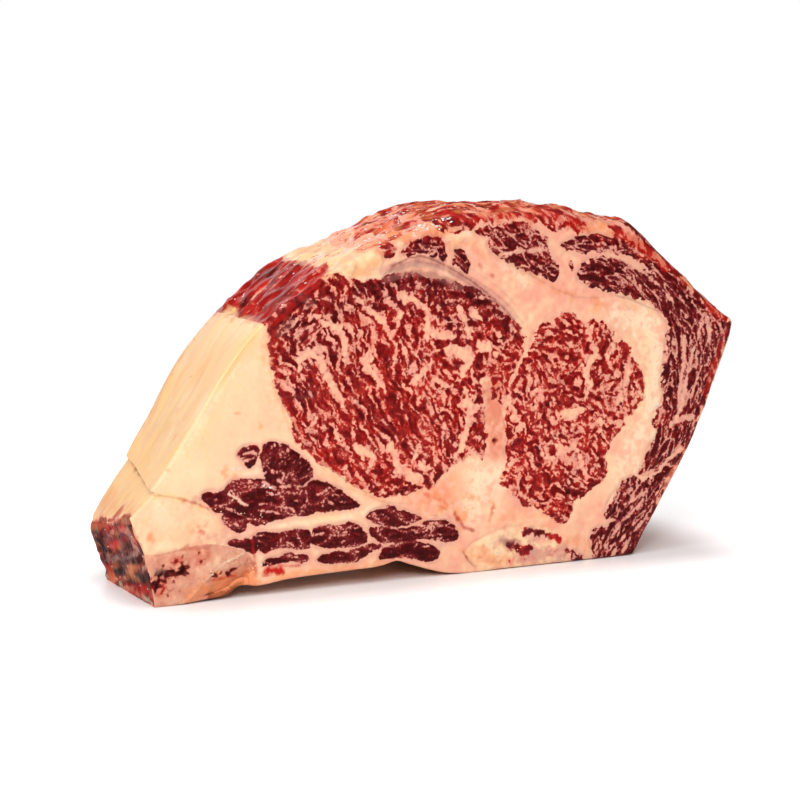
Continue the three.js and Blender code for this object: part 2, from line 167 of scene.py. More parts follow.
@dataclass(frozen=True)
class Raster:
    """A fine rectangular grid on which seeded patterns are made and then read at any point."""

    low: tuple[float, float]
    high: tuple[float, float]
    pitch: float = 0.25

    @property
    def shape(self) -> tuple[int, int]:
        """Rows and columns, even so that the transform is its own inverse."""
        size = [2 * math.ceil((h - l) / self.pitch / 2) for l, h in zip(self.low, self.high)]
        return size[1], size[0]

    def grid(self) -> tuple[Array, Array]:
        """The two coordinates at every place of the grid."""
        rows, columns = self.shape
        return np.meshgrid(
            self.low[0] + (np.arange(columns) + 0.5) * self.pitch,
            self.low[1] + (np.arange(rows) + 0.5) * self.pitch)

    def waves(self) -> tuple[Array, Array]:
        """How often each wave of the transform repeats along the two coordinates."""
        rows, columns = self.shape
        return np.fft.rfftfreq(columns, self.pitch)[None, :], np.fft.fftfreq(rows, self.pitch)[:, None]

    def streaks(self, seed: int, across: float, along: float, angle: float, coarsest: float) -> Array:
        """Noise smeared along one direction.

        Args:
            seed: chooses the noise.
            across: softness across the streaks.
            along: softness along them.
            angle: their direction in degrees from the first axis.
            coarsest: larger forms than this are taken out; 0 keeps them.

        Returns:
            The noise on the grid, with a spread of 1.
        """
        spectrum = np.fft.rfft2(np.random.default_rng(seed).standard_normal(self.shape))
        fu, fv = self.waves()
        turn = math.radians(angle)
        lengthwise = fu * math.cos(turn) + fv * math.sin(turn)
        sideways = -fu * math.sin(turn) + fv * math.cos(turn)
        keep = np.exp(-2 * np.pi**2 * ((along * lengthwise) ** 2 + (across * sideways) ** 2))
        if coarsest:
            keep = keep * (1 - np.exp(-2 * np.pi**2 * coarsest**2 * (fu**2 + fv**2)))
        noise = np.fft.irfft2(spectrum * keep, s=self.shape)
        return noise / noise.std()

    def noise(self, seed: int, size: float, coarsest: float = 0.0) -> Array:
        """Even noise with forms of one size."""
        return self.streaks(seed, size, size, 0.0, coarsest)

    def mixed(self, seed: int, parts: Sequence[tuple[float, float]]) -> Array:
        """Noise of several sizes added up; each part is a size and an amount, with a seed of its own."""
        return sum(amount * self.noise(seed + k, size) for k, (size, amount) in enumerate(parts))

    def softened(self, values: Array, size: float) -> Array:
        """A pattern blurred by a size."""
        fu, fv = self.waves()
        keep = np.exp(-2 * np.pi**2 * size**2 * (fu**2 + fv**2))
        return np.fft.irfft2(np.fft.rfft2(values) * keep, s=self.shape)

    def filled(self, loops: Sequence[Array]) -> Array:
        """1 inside any of the closed loops and 0 outside them."""
        u, v = (grid.ravel() for grid in self.grid())
        within = np.zeros(len(u))
        for loop in loops:
            within[inside(loop, u, v)] = 1.0
        return within.reshape(self.shape)

    def window(self, low: Array, high: Array) -> tuple["Raster", tuple[slice, slice]]:
        """A part of the raster between two corners, as a raster of its own and as its slices."""
        rows, columns = self.shape
        start = [max(0, int((c - l) / self.pitch)) for c, l in zip(low, self.low)]
        stop = [min(n, int((c - l) / self.pitch) + 1) for c, l, n in zip(high, self.low, (columns, rows))]
        stop = [b - (b - a) % 2 for a, b in zip(start, stop)]
        corner = tuple(l + a * self.pitch for l, a in zip(self.low, start))
        far = tuple(l + b * self.pitch - self.pitch / 2 for l, b in zip(self.low, stop))
        return Raster(corner, far, self.pitch), (slice(start[1], stop[1]), slice(start[0], stop[0]))

    def read(self, values: Array, u: Array, v: Array) -> Array:
        """Reads a pattern between the places of the grid."""
        rows, columns = self.shape
        cu = np.clip((u - self.low[0]) / self.pitch - 0.5, 0, columns - 1.001)
        cv = np.clip((v - self.low[1]) / self.pitch - 0.5, 0, rows - 1.001)
        i, j = cu.astype(int), cv.astype(int)
        su, sv = cu - i, cv - j
        lower = values[j, i] * (1 - su) + values[j, i + 1] * su
        upper = values[j + 1, i] * (1 - su) + values[j + 1, i + 1] * su
        return lower * (1 - sv) + upper * sv


# ------------------------------------------------------------------------------- the whole slab

@dataclass(frozen=True)
class Stretch:
    """A run of the roast's outline with one kind of edge and one kind of surface.

    A corner is (x, z), or (front x, front z, back x, back z) where it shifts through the depth.
    """

    name: str
    inset: float
    depth: float
    corners: tuple[Corner, ...]
    sharp: tuple[int, ...] = ()


FACE_BOX = ((-18.0, -4.0), (272.0, 158.0))

STRETCHES = (
    Stretch("foot", 0.5, 1.5, ((0, 0), (8, 0)), sharp=(0,)),
    Stretch("arch", 0.8, 2.5, (
        (20, 0.7), (31, 2.2), (35, 4.6), (43, 3.9), (55, 5.2), (70, 5.8), (86, 6.2), (97, 6.9),
        (103, 8), (110, 5.8), (118, 3), (126, 0.8))),
    Stretch("long_foot", 0.8, 2.5, ((133, 0), (152, 0), (172, 0), (193, 0), (215.4, 0)), sharp=(4,)),
    Stretch("right_side", 1.6, 4.0, (
        (218.6, 4), (221.6, 9), (225.2, 14), (231.4, 24), (237.8, 34), (243.8, 44), (248.8, 54.2),
        (253.6, 64.2), (257.4, 74.2), (261.6, 84.2), (265, 93.4), (264.9, 98.4), (261, 101.4))),
    Stretch("slope", 4.6, 9.0, (
        (254.2, 107.4), (249.2, 111.6), (243.6, 117), (237.2, 122), (231.6, 126.8), (230, 128),
        (224.8, 132.2), (219, 137.2), (212, 142.4))),
    Stretch("crown", 6.4, 15.0, (
        (207.4, 143.4), (200.4, 144.1), (190.2, 146.2), (182, 148.8, 182, 147.2),
        (176, 149.6, 176, 147.8), (168, 148.8), (155, 149), (141, 148.8), (128, 147.4))),
    Stretch("crown_end", 4.6, 9.0, ((117, 144.2), (108.6, 140.8), (99.4, 136.8))),
    Stretch("bare_slope", 2.4, 6.0, (
        (89.4, 132.6), (79.4, 128.6), (71.4, 124.2), (64.4, 119.8), (56.6, 114.6))),
    Stretch("cap_side", 0.7, 2.0, (
        (47, 107.5, 49, 107.2), (40, 101, 43.2, 101.6), (34, 94, 37.2, 95), (27, 84.5, 31.2, 87),
        (20, 74, 25.4, 77.4), (12.5, 63, 18.9, 65.4), (5.5, 52.5, 13.2, 56.4),
        (-0.6, 44.8, 9.8, 50.2), (0.6, 44, 11, 49.2), (-4.2, 39.5, 4.4, 40.9)), sharp=(7, 8)),
    Stretch("sawn_end", 0.5, 1.5, (
        (-9.5, 35.5, -5.4, 27), (-8.4, 30.5, -6.2, 23), (-5.8, 25, -5.4, 17.5),
        (-3.6, 19, -4, 12.5), (-2, 12, -2.4, 8.5), (-1, 5, -0.4, 4)), sharp=(0,)),
)


class Outline:
    """The roast's closed outline, sampled once, that gives its ring of points at any depth."""

    blend = (0.25, 0.5, 0.25)
    softened = (-2, -1, 0, 1, 2)

    def __init__(self, thickness: float, step: float) -> None:
        """Samples the stretches one after the other.

        Args:
            thickness: from the front cut to the back cut.
            step: distance between two samples.
        """
        self.half = thickness / 2
        rows, edges, kinds, sharp = [], [], [], []
        for number, stretch in enumerate(STRETCHES):
            sharp += [len(rows) + i for i in stretch.sharp]
            for corner in stretch.corners:
                rows.append([*corner[:2], *corner[-2:]])
                edges.append([stretch.inset, stretch.depth])
                kinds.append(number)
        edge = np.array(edges)
        edge = sum(w * np.roll(edge, 1 - i, axis=0) for i, w in enumerate(self.blend))
        fine, owner = smooth_curve(np.hstack([np.array(rows, float), edge]), sharp, step)
        self.front, self.back = fine[:, :2], fine[:, 2:4]
        self.inset, self.depth = fine[:, 4], fine[:, 5]
        self.kind = np.array(kinds)[owner]
        hops = np.linalg.norm(np.roll(self.front, -1, axis=0) - self.front, axis=1)
        self.along = np.concatenate([[0.0], np.cumsum(hops)[:-1]])
        self.length = float(hops.sum())
        run = np.roll(self.front, -2, axis=0) - np.roll(self.front, 2, axis=0)
        self.run = run / np.linalg.norm(run, axis=1, keepdims=True)

    def ring(self, y: float) -> Array:
        """The outline at one depth, rounded in towards the nearer cut."""
        share = (y + self.half) / (2 * self.half)
        loop = self.front * (1 - share) + self.back * share
        short = np.clip(1 - (self.half - abs(y)) / self.depth, 0.0, 1.0)
        pull = self.inset * (1 - np.sqrt(1 - short**2))
        normal = outward(loop)
        soft = sum(np.roll(normal, k, axis=0) for k in self.softened)
        soft /= np.linalg.norm(soft, axis=1, keepdims=True)
        return loop - soft * pull[:, None]

    def span(self, name: str) -> tuple[float, float]:
        """Where a stretch starts and ends, measured along the outline."""
        number = [stretch.name for stretch in STRETCHES].index(name)
        own = self.along[self.kind == number]
        return float(own.min()), float(own.max())

    def weight(self, along: Array, names: Sequence[str], soft: float) -> Array:
        """How much each place of the skin belongs to the named stretches, from 0 to 1."""
        total = np.zeros_like(along)
        for name in names:
            low, high = self.span(name)
            total = np.maximum(total, ease(low - soft, low + soft, along)
                               * (1 - ease(high - soft, high + soft, along)))
        return total


@dataclass(frozen=True)
class SkinGrain:
    """Relief of one part of the outer skin, made of streaks in the skin's own directions."""

    stretches: tuple[str, ...]
    across: float
    along: float
    angle: float
    height: float
    seed: int


# Stretches, softness across and along, angle, height and seed.
SKIN_GRAINS = (
    SkinGrain(("crown", "crown_end"), 0.8, 4.5, 12, 0.48, 11),
    SkinGrain(("crown", "crown_end"), 2.2, 7.0, 8, 0.60, 12),
    SkinGrain(("crown", "crown_end"), 0.45, 1.2, 20, 0.20, 13),
    SkinGrain(("slope",), 0.7, 5.0, 4, 0.30, 14),
    SkinGrain(("bare_slope",), 0.5, 2.2, -14, 0.20, 15),
    SkinGrain(("bare_slope",), 1.6, 4.0, -20, 0.7, 16),
    SkinGrain(("cap_side",), 1.6, 7.0, 0, 0.07, 17),
    SkinGrain(("cap_side",), 7.0, 18.0, 0, 0.30, 18),
    SkinGrain(("sawn_end",), 0.4, 2.6, 4, 0.16, 19),
    SkinGrain(("sawn_end",), 1.6, 2.2, 0, 0.35, 20),
    SkinGrain(("right_side",), 1.5, 6.0, 0, 0.20, 21),
)


@dataclass
class Slab:
    """The whole roast as one closed mesh with its relief, before the tissues are told apart."""

    thickness: float = 56.0
    skin_step: float = 0.75
    lean_step: float = 0.42
    fat_step: float = 0.6
    back_step: float = 0.85
    rim_steps: tuple[float, ...] = (0, 0.12, 0.4, 0.85, 1.45, 2.2, 3.0)
    rim_margin: float = 0.45
    jitter: float = 0.16
    seed: int = 5
    outline: Outline = field(init=False)
    rows: Array = field(init=False)
    skin_points: Array = field(init=False)
    count: int = field(init=False)

    def __post_init__(self) -> None:
        """Samples the outline and sets the depths of the rings."""
        self.outline = Outline(self.thickness, self.skin_step)
        half = self.thickness / 2
        middle = half - self.rim_steps[-1]
        inner = np.linspace(-middle, middle, round(2 * middle / self.skin_step) + 1)
        rim = np.array(self.rim_steps[:-1])
        self.rows = np.concatenate([rim - half, inner, half - rim[::-1]])

    def cap(self, y: float, lean: Sequence[Array], lean_step: float, fat_step: float) -> tuple[Array, Array]:
        """Triangles that fill the ring at one cut.

        Args:
            y: the cut's depth.
            lean: outlines inside which the finer step holds.
            lean_step: distance between points in the lean.
            fat_step: distance between points in the fat.

        Returns:
            The points as rows of x and z, the ring's own first, and the triangles as rows of three.
        """
        ring = self.outline.ring(y)
        margin = ring - outward(ring) * self.rim_margin
        random = np.random.default_rng(self.seed)
        picked = []
        for step, wanted in ((lean_step, True), (fat_step, False)):
            low, high = ring.min(0), ring.max(0)
            rows = np.arange(low[1], high[1], step * math.sqrt(0.75))
            columns = np.arange(low[0], high[0], step)
            x, z = np.meshgrid(columns, rows)
            x = x + (np.arange(len(rows)) % 2)[:, None] * step / 2
            x = (x + random.uniform(-self.jitter, self.jitter, x.shape) * step).ravel()
            z = (z + random.uniform(-self.jitter, self.jitter, z.shape) * step).ravel()
            keep = inside(margin, x, z)
            x, z = x[keep], z[keep]
            in_lean = np.zeros(len(x), bool)
            for loop in lean:
                in_lean |= inside(loop, x, z)
            picked.append(np.stack([x, z], axis=1)[in_lean == wanted])
        points = np.concatenate([ring, *picked])
        found = delaunay_2d_cdt(
            [Vector(p) for p in points.tolist()], [], [list(range(len(ring)))], 1, 1e-7, False)
        if len(found[0]) != len(points):
            raise ValueError("the cut's points moved while they were joined")
        triangles = np.array(found[2])
        middle = points[triangles].mean(axis=1)
        within = inside(ring, middle[:, 0], middle[:, 1]) | (triangles >= len(ring)).any(axis=1)
        return points, triangles[within]

    def build(self, lean: Sequence[Array], relief: "Relief") -> tuple[Array, Array]:
        """Makes the closed mesh and pushes its points out along their normals.

        Args:
            lean: outlines of the tissues that need finer triangles.
            relief: gives the height at every point.

        Returns:
            The points in millimetres and the triangles.
        """
        rings = [self.outline.ring(y) for y in self.rows]
        count, last = len(rings[0]), len(rings) - 1
        skin = np.concatenate([
            np.stack([r[:, 0], np.full(count, y), r[:, 1]], axis=1) for r, y in zip(rings, self.rows)])
        i = np.arange(count)
        j = (i + 1) % count
        quads = [np.concatenate([
            np.stack([i + k * count, j + (k + 1) * count, j + k * count], axis=1),
            np.stack([i + k * count, i + (k + 1) * count, j + (k + 1) * count], axis=1)])
            for k in range(last)]
        points, faces = [skin], quads
        total = len(skin)
        for side, (y, steps) in enumerate((
                (self.rows[0], (self.lean_step, self.fat_step)),
                (self.rows[-1], (self.back_step, self.back_step)))):
            flat, triangles = self.cap(y, lean, *steps)
            extra = len(flat) - count
            place = np.concatenate([i + side * last * count, total + np.arange(extra)])
            triangles = place[triangles]
            points.append(np.stack([flat[count:, 0], np.full(extra, y), flat[count:, 1]], axis=1))
            corner = np.concatenate(points)[triangles]
            turn = np.cross(corner[:, 1] - corner[:, 0], corner[:, 2] - corner[:, 0])[:, 1]
            wrong = turn > 0 if side == 0 else turn < 0
            triangles[wrong] = triangles[wrong][:, ::-1]
            faces.append(triangles)
            total += extra
        vertices, triangles = np.concatenate(points), np.concatenate(faces)
        normals = vertex_normals(vertices, triangles)
        self.skin_points = skin
        self.count = count
        height = relief.height(vertices, normals, self)
        moved = vertices + normals * height[:, None]
        moved[:, 2] = np.maximum(moved[:, 2], 0.0)
        return moved, triangles


def vertex_normals(vertices: Array, triangles: Array) -> Array:
    """Unit normals of a closed mesh, weighted by the area of the faces."""
    corner = vertices[triangles]
    face = np.cross(corner[:, 1] - corner[:, 0], corner[:, 2] - corner[:, 0])
    normal = np.zeros_like(vertices)
    for k in range(3):
        for axis in range(3):
            normal[:, axis] += np.bincount(triangles[:, k], face[:, axis], len(vertices))
    return normal / np.maximum(np.linalg.norm(normal, axis=1, keepdims=True), 1e-12)


@dataclass
class Places:
    """Where points lie on the roast: along the outline, how far in the skin, and which way it runs."""

    along: Array
    skin: Array
    run: Array


class Locator:
    """Finds for any point of the roast the nearest place of its skin."""

    edge = (0.02, 0.5)
    away = (1.6, 2.6)

    def __init__(self, slab: Slab) -> None:
        """Makes a search tree of the slab's plain skin."""
        self.slab = slab
        self.tree = KDTree(len(slab.skin_points))
        for number, point in enumerate(slab.skin_points.tolist()):
            self.tree.insert(point, number)
        self.tree.balance()

    def find(self, vertices: Array) -> Places:
        """The places of many points."""
        outline, half = self.slab.outline, self.slab.thickness / 2
        found = [self.tree.find(point)[1:] for point in vertices.tolist()]
        nearest = np.array([number for number, _ in found]) % self.slab.count
        away = np.array([distance for _, distance in found])
        below = half - np.abs(vertices[:, 1])
        skin = ease(*self.edge, below / outline.depth[nearest]) * (1 - ease(*self.away, away))
        return Places(outline.along[nearest], skin, outline.run[nearest])


# ------------------------------------------------------------------------------- marks and tints

class Tint(Enum):
    """A colour change that a mark lays on a tissue, named for what causes it; some also carry painted light:
    highlights and glints in the pale one, sheen and shadow in the veil and grey ones, shade in the dark one
    and a shadow line in the seam one.
    """

    BLOOD = "blood"
    ORANGE = "orange"
    # Gristle and film, and a painted shadow beside the spine.
    GREY = "grey"
    YELLOW = "yellow"
    # Darkened lean, and along the eye's top edge painted shade.
    DARK = "dark"
    # Pale fat, and painted highlights and glints.
    PALE_AND_HIGHLIGHT = "pale"
    PINK = "pink"
    WET = "wet"
    # Dark lines of membrane and cracks, and a painted shadow line under the torn step on the cap's side.
    SEAM = "seam"
    # Film over the lean, and painted sheen and shadow.
    VEIL_SHEEN_AND_SHADE = "veil"


@dataclass(frozen=True)
class Stroke:
    """A spot or a line on a raster: how strong, how wide and how soft it is, and where it runs."""

    amount: float
    width: float
    soft: float
    path: Path
    ragged: float = 1.0
    even: ClassVar[float] = 1.6

    def lay(self, layer: Array, raster: Raster, wobble: Array) -> None:
        """Raises a layer of the raster to this stroke's amount where the stroke lies."""
        line = np.array(self.path, float)
        reach = self.width / 2 + self.soft * 2 + 1.0
        part, cells = raster.window(line.min(0) - reach, line.max(0) + reach)
        u, v = (grid.ravel() for grid in part.grid())
        within = reach_of_path(line, np.full(len(line), self.width), u, v)
        ragged = self.soft * self.ragged * min(1.0, self.width / self.even)
        within = within.reshape(part.shape) + wobble[cells] * ragged
        layer[cells] = np.maximum(layer[cells], self.amount * ease(-self.soft, self.soft, within))


def strokes(*rows: tuple, ragged: float = 1.0) -> tuple[Stroke, ...]:
    """Strokes from rows of amount, width, softness and then the places that each runs through."""
    return tuple(Stroke(amount, width, soft, tuple(path), ragged) for amount, width, soft, *path in rows)


def laid(marks: Sequence[Stroke], raster: Raster, wobble: Array) -> Array:
    """The strokes laid together on an empty layer."""
    layer = np.zeros(raster.shape)
    for mark in marks:
        mark.lay(layer, raster, wobble)
    return layer


# Each row is amount, width and softness, then the places in x and z that the mark runs through.
FRONT_MARKS = {
    # Fat stained by blood and age.
    Tint.ORANGE: strokes(
        (0.75, 7, 4.5, (121, 33), (125, 29), (130, 25)), (0.5, 12, 5, (116, 31), (128, 33)),
        (0.6, 2, 1.6, (146.5, 28), (148.5, 27)), (0.3, 8, 5, (150, 22), (172, 21)),
        (0.3, 4, 3, (66, 44), (80, 41), (95, 35)), (0.55, 3, 3, (196, 108), (200, 107)),
        (0.35, 5, 4, (128, 136), (140, 134)),
        (0.5, 1.4, 1.6, (146, 131), (160, 124), (172, 117), (184, 112)),
        (0.4, 3.4, 2.4, (70, 123), (80, 124), (92, 126.4), (97, 131)),
        (0.5, 2.2, 2, (75, 126.2), (84, 127.2)),
        (0.35, 2.4, 2.4, (48, 99), (49.2, 88), (51.6, 78), (55.4, 68)),
        (0.8, 1.1, 0.8, (34, 72.8), (35.6, 72.2)), (0.5, 0.9, 0.9, (44, 68.6), (44.6, 66.4)),
        (0.7, 1, 0.7, (5.2, 53), (6, 52.6)),
        (0.22, 12, 6, (4, 30), (24, 28)), (0.55, 3.4, 1.6, (38, 4.6), (60, 7), (86, 7.6), (101, 8.6)),
        (0.8, 5, 3, (125, 30), (129, 26)),
        (0.45, 1.6, 1.2, (146.8, 27.6), (146.3, 21.4)), (0.55, 2.4, 1.6, (142, 9), (145, 6.4), (149, 3.6)),
        (0.4, 6, 3, (136, 8), (144, 4), (154, 2.6)), (0.45, 3, 2.4, (183, 9), (190, 8), (196, 5)),
        (0.75, 6, 3, (114, 141.6), (124, 144.8), (134, 146.8), (150, 147.2), (166, 147)),
        (0.75, 4, 2, (106, 138.6), (116, 140), (127, 138)), (0.5, 3, 2, (133, 143), (140, 141)),
        (0.75, 4, 2.4, (190, 139), (198, 139.6), (205, 137)),
        (0.7, 4, 2, (207, 137), (218, 130), (228, 123.6)),
        (0.85, 2.6, 1.2, (238, 117.4), (245, 112), (250, 108)), (0.6, 2, 1.2, (251, 106), (260, 99)),
        (0.8, 1.4, 1.2, (-2.2, 29.6), (-1.6, 27)), (0.5, 3, 2.4, (209, 106.6), (215, 105)),
        (0.6, 1.5, 1.1, (29.6, 51.4), (29, 49.4), (31, 47.8), (35, 48)),
        (0.4, 4, 2.4, (148.6, 84), (147.4, 66), (147.6, 48)), (0.8, 9, 3, (18, 3), (29, 5.4), (40, 6)),
        (0.5, 1.6, 1.2, (221, 10), (232, 27), (243, 45), (252, 63), (259, 80))),
    # Older, yellower fat.
    Tint.YELLOW: strokes(
        (0.55, 8, 4.5, (74, 126.4), (82, 128.6), (92, 130.4)),
        (0.35, 6, 5, (43, 101), (36, 92), (24, 74), (14, 60)),
        (0.9, 1.4, 1.2, (0.6, 43.2), (6, 42.6), (12, 41), (20, 37.6)),
        (0.6, 2.4, 1.6, (64, 29), (76, 28.8)), (0.5, 1.6, 1.2, (44, 6.4), (62, 8.2), (84, 9)),
        (0.4, 3, 3, (221, 90), (221, 76), (217, 60))),
    # Clean fat, bruised white by the knife or wet, and painted highlights: the bright line along the cap's
    # front ridge, the shine on the yellow lump and small white glints.
    Tint.PALE_AND_HIGHLIGHT: strokes(
        (0.8, 9, 5, (136, 26), (139, 38), (146, 40)),
        (0.55, 1, 0.6, (78, 122.6), (88, 121.6), (95, 122.7), (104.9, 125.7), (110.7, 127.3),
            (120, 125.3), (127, 121.9)),
        # Painted highlight on the yellow lump.
        (1, 2.6, 1.6, (80, 126.6), (87, 129.4), (92, 131.4)),
        # The first stroke below is a painted highlight along the cap's front ridge.
        (0.9, 1.4, 1.4, (35.6, 92), (29, 83), (21, 71.6), (14.6, 62)), (0.7, 4, 3, (2.6, 38.5), (4, 32)),
        (0.9, 2.4, 1, (29, 42), (33, 39.4), (36.6, 36.8)), (0.5, 2.4, 1.6, (37, 48.6), (44.6, 49.4)),
        (0.85, 0.8, 0.4, (10.4, 0.5), (14, 2.4), (17.6, 5.4), (22.4, 10.2), (29, 14.6), (37, 17.6)),
        (0.75, 1.6, 1.2, (43.4, 25), (43.6, 16), (44, 7)),
        (0.7, 2.2, 1.6, (46, 27.4), (60, 27.6), (84, 27.8), (94, 31.6)),
        (0.85, 7, 4, (206, 104), (217, 103), (224, 94), (225, 80), (222, 62)),
        (0.7, 4, 3, (218, 54), (213, 44), (208, 36)), (0.5, 5, 4, (152, 127), (160, 121)),
        # Painted white glints: one above the eye, one on the small lump under the crown.
        (0.8, 1.6, 1, (143.6, 125.2), (145, 125)), (0.8, 2, 1, (132, 138), (135.4, 138)),
        # The first stroke below is a painted white glint on the fat beside the spine.
        (0.8, 1.3, 0.7, (149, 6.8), (152, 6.4)), (0.6, 2.4, 1.4, (1, 35), (4, 31), (7, 33)),
        (0.7, 1.6, 0.9, (118, 24.8), (126, 24.4), (130.4, 21.2)), (0.8, 4, 1.6, (226, 69), (226, 63)),
        (0.7, 4, 1.6, (226, 55), (225, 50.6)), (0.7, 2.6, 1.2, (219, 38.6), (217, 35.6)),
        (0.6, 6, 3, (148, 27), (140, 35)), (0.5, 1.6, 1.2, (147.6, 50), (147.8, 58))),
    # Gristle and dried film, and a painted grey-blue shadow beside the spine's first marrow island.
    Tint.GREY: strokes(
        (0.6, 3, 2.4, (19, 26), (24, 24), (30, 25)), (0.7, 1.6, 1, (13, 39), (18, 40.4), (23, 40)),
        (0.6, 1.6, 1, (29, 38), (34, 41), (37, 43)),
        (0.35, 1.6, 1.2, (229.8, 101), (230.6, 90), (229.2, 78), (229.4, 67)),
        # The first stroke below is a painted grey-blue shadow beside the spine's first marrow island; the
        # second is gristle.
        (0.55, 5, 2.5, (150, 13), (156, 12.4)), (0.75, 6, 2.5, (162, 5), (172, 4.6), (180, 4)),
        (0.5, 3, 1.6, (164, 11), (174, 11))) + strokes(
        (0.7, 3.4, 1, (97, 124.6), (104, 127), (112, 128.9), (120, 127.2), (128, 123.2), (137, 118.2),
            (147, 111.4), (156, 103.4)), ragged=0.4),
    # Lean that has darkened, and along the eye's top edge also painted shade of the recess under the fascia.
    Tint.DARK: strokes(
        (0.8, 9, 5, (57, 103), (63, 106)), (0.9, 7, 3, (58, 81), (64, 79)),
        (0.95, 2.2, 0.8, (1.4, 13.4), (4, 13.4)), (0.35, 5, 3, (16, 2), (27, 5), (38, 9)),
        # Darkened lean along the eye's top edge, partly painted shade of the recess under the fascia.
        (0.9, 4.2, 2, (84, 117), (94, 118.6), (104, 120), (114, 120), (124, 118), (134, 115),
            (143, 110.6), (150, 105), (155, 98)),
        (0.7, 7, 3, (64, 113), (72, 115)), (0.7, 2.4, 1.4, (123, 141.4), (129, 141.2), (136, 141.4)),
        (0.9, 5, 1.6, (155, 9.4), (164, 7.6)), (0.9, 4, 1.4, (162.6, 14.6), (171.6, 13.4)),
        (0.8, 4, 1.4, (184, 4), (190, 2))),
    # Fresh blood and the red rims of the muscles.
    Tint.BLOOD: strokes(
        (0.75, 0.9, 0.7, (129, 25.5), (131.5, 22), (134, 19), (138, 17.6)),
        (0.55, 1, 0.8, (147.2, 27), (146.6, 23), (146.3, 21)), (1, 2.4, 0.8, (147.7, 54)),
        (0.4, 0.8, 0.6, (49.6, 104), (50.8, 90), (54, 77.6), (60.4, 64), (69.4, 52.8), (79.8, 44.8),
            (90.4, 38)),
        (0.55, 0.8, 0.8, (139.4, 125.8), (140.6, 125)), (0.7, 0.7, 0.5, (12, 40.6), (17, 38.8), (22, 36.4)),
        (0.55, 2, 1.2, (16.4, 28.6), (20, 28.2)), (0.35, 3.4, 2, (8, 17), (19, 18)),
        (0.4, 2.6, 1.6, (0.6, 6), (3, 8)), (0.75, 0.7, 0.6, (21, 8.2), (27, 8.2), (34, 8.8)),
        (0.7, 0.9, 0.7, (40.2, 22), (41.2, 15), (42, 8)), (0.8, 1.2, 0.7, (44.6, 7.8), (48.4, 8)),
        (0.5, 2.2, 1.2, (50, 105.6), (55, 110.6), (62, 116), (69, 120.8)),
        (0.26, 7, 3, (148.6, 84), (147.4, 66), (147.6, 50)),
        (0.35, 1.2, 1, (115, 34.4), (123, 31.4), (129, 28)),
        (0.3, 1.2, 1, (118, 30.6), (125, 27.6), (130, 24)),
        (0.5, 2.6, 1.4, (128, 146), (136, 144.6), (146, 144.8), (154, 146)),
        (0.5, 2.6, 1.2, (161.6, 148), (162.8, 144)),
        (0.5, 3.2, 1.4, (168, 147), (174, 144.4), (182, 141.8), (188, 140)),
        (0.45, 3.6, 1.4, (206, 138), (218, 130.4), (230, 122)), (0.6, 3.2, 1.2, (250, 107), (260, 99)),
        (0.5, 4, 1.6, (96, 136), (100, 132.6)),
        (0.3, 2, 1.6, (106, 131), (109, 136), (118, 138.6), (125, 135)),
        (1, 2.8, 0.8, (46.6, 9.2), (49.4, 9.6), (52.4, 9.4)),
        (0.7, 1, 0.6, (51, 11.4), (56, 10.8), (60, 10.4)),
        (0.6, 1, 0.7, (145.4, 121.6), (146.4, 121.2)),
        (0.5, 1.6, 1, (262, 94), (257, 82), (251, 68)), (0.5, 1.6, 1, (174, 12), (178.6, 10))),
    # Thin dark lines of membrane and cracks.
    Tint.SEAM: strokes(
        (0.35, 0.5, 0.5, (128, 27.5), (131.2, 23), (134.6, 18.6), (139, 17)),
        (0.3, 0.4, 0.5, (62, 47), (72, 42), (84, 38.6), (96, 33), (108, 31)),
        (0.85, 0.6, 0.35, (101, 126.6), (104.5, 128), (108.4, 129.5), (113, 130.4), (120, 128.4),
            (129.4, 123.6), (136.5, 119.5), (146.1, 112.4), (153.4, 106), (159, 99.4)),
        (0.35, 0.45, 0.5, (122, 126.6), (128, 125.4), (135, 121.6), (144.4, 116), (153.8, 109),
            (160.4, 101.4)),
        (0.25, 0.4, 0.5, (128, 128), (138, 123.4), (148, 117), (157, 109.4)),
        (0.45, 0.5, 0.4, (48.4, 104), (49.8, 89), (53, 77), (59.4, 63.4), (68.6, 52), (79.1, 43.8),
            (90, 36.8)),
        (0.3, 0.4, 0.5, (150, 129), (162, 122.4), (174, 115.4), (186, 111), (198, 110.4)),
        (0.5, 0.6, 0.5, (0, 43.6), (7, 42.2), (13, 40.8), (19, 38.4)),
        (0.3, 0.8, 0.6, (0, 20.2), (9, 21.4), (20, 21.6), (29, 22.6)),
        (0.35, 0.5, 0.5, (98, 124), (104, 127), (110, 128.2), (115, 127.8), (120, 126.6), (125, 124.2),
            (131, 121), (138, 116.4)),
        (0.5, 0.6, 0.5, (54, 77.6), (60, 77.4), (66, 76.6)), (0.8, 1.5, 0.6, (147.7, 54)),
        (0.5, 0.5, 0.4, (205, 111), (213, 109), (222, 105.2), (229, 103)),
        (0.6, 0.5, 0.4, (133.4, 9), (136.4, 4.6), (139.6, 1.6)),
        (0.35, 0.5, 0.4, (118, 25.4), (126, 24.8), (130.6, 21.6))),
    # Dried film over the lean, painted grey sheen on the wet lean at the eye's upper left, and a painted
    # shadow beside the spine's first marrow island.
    Tint.VEIL_SHEEN_AND_SHADE: strokes(
        (0.55, 2.6, 0.8, (98, 121.4), (104, 122.8), (110, 123.9), (118, 122.9), (125, 120.2), (131, 117.4)),
        (0.48, 2.8, 1.8, (101, 125), (112, 127.4), (121, 125.6)), (0.3, 2, 1.4, (118, 127.4), (128, 123.4),
            (137, 118), (146, 112)),
        # Painted grey sheen on the wet lean at the eye's upper left.
        (0.3, 3.4, 1.6, (52, 102), (56, 106)), (0.35, 3, 1.2, (62, 116), (66, 113)),
        # Painted shadow beside the spine's first marrow island.
        (0.55, 2.0, 1.2, (151, 12.2), (154, 11.4), (158, 11.6)), ragged=0.4),
}


# ------------------------------------------------------------------------------- relief

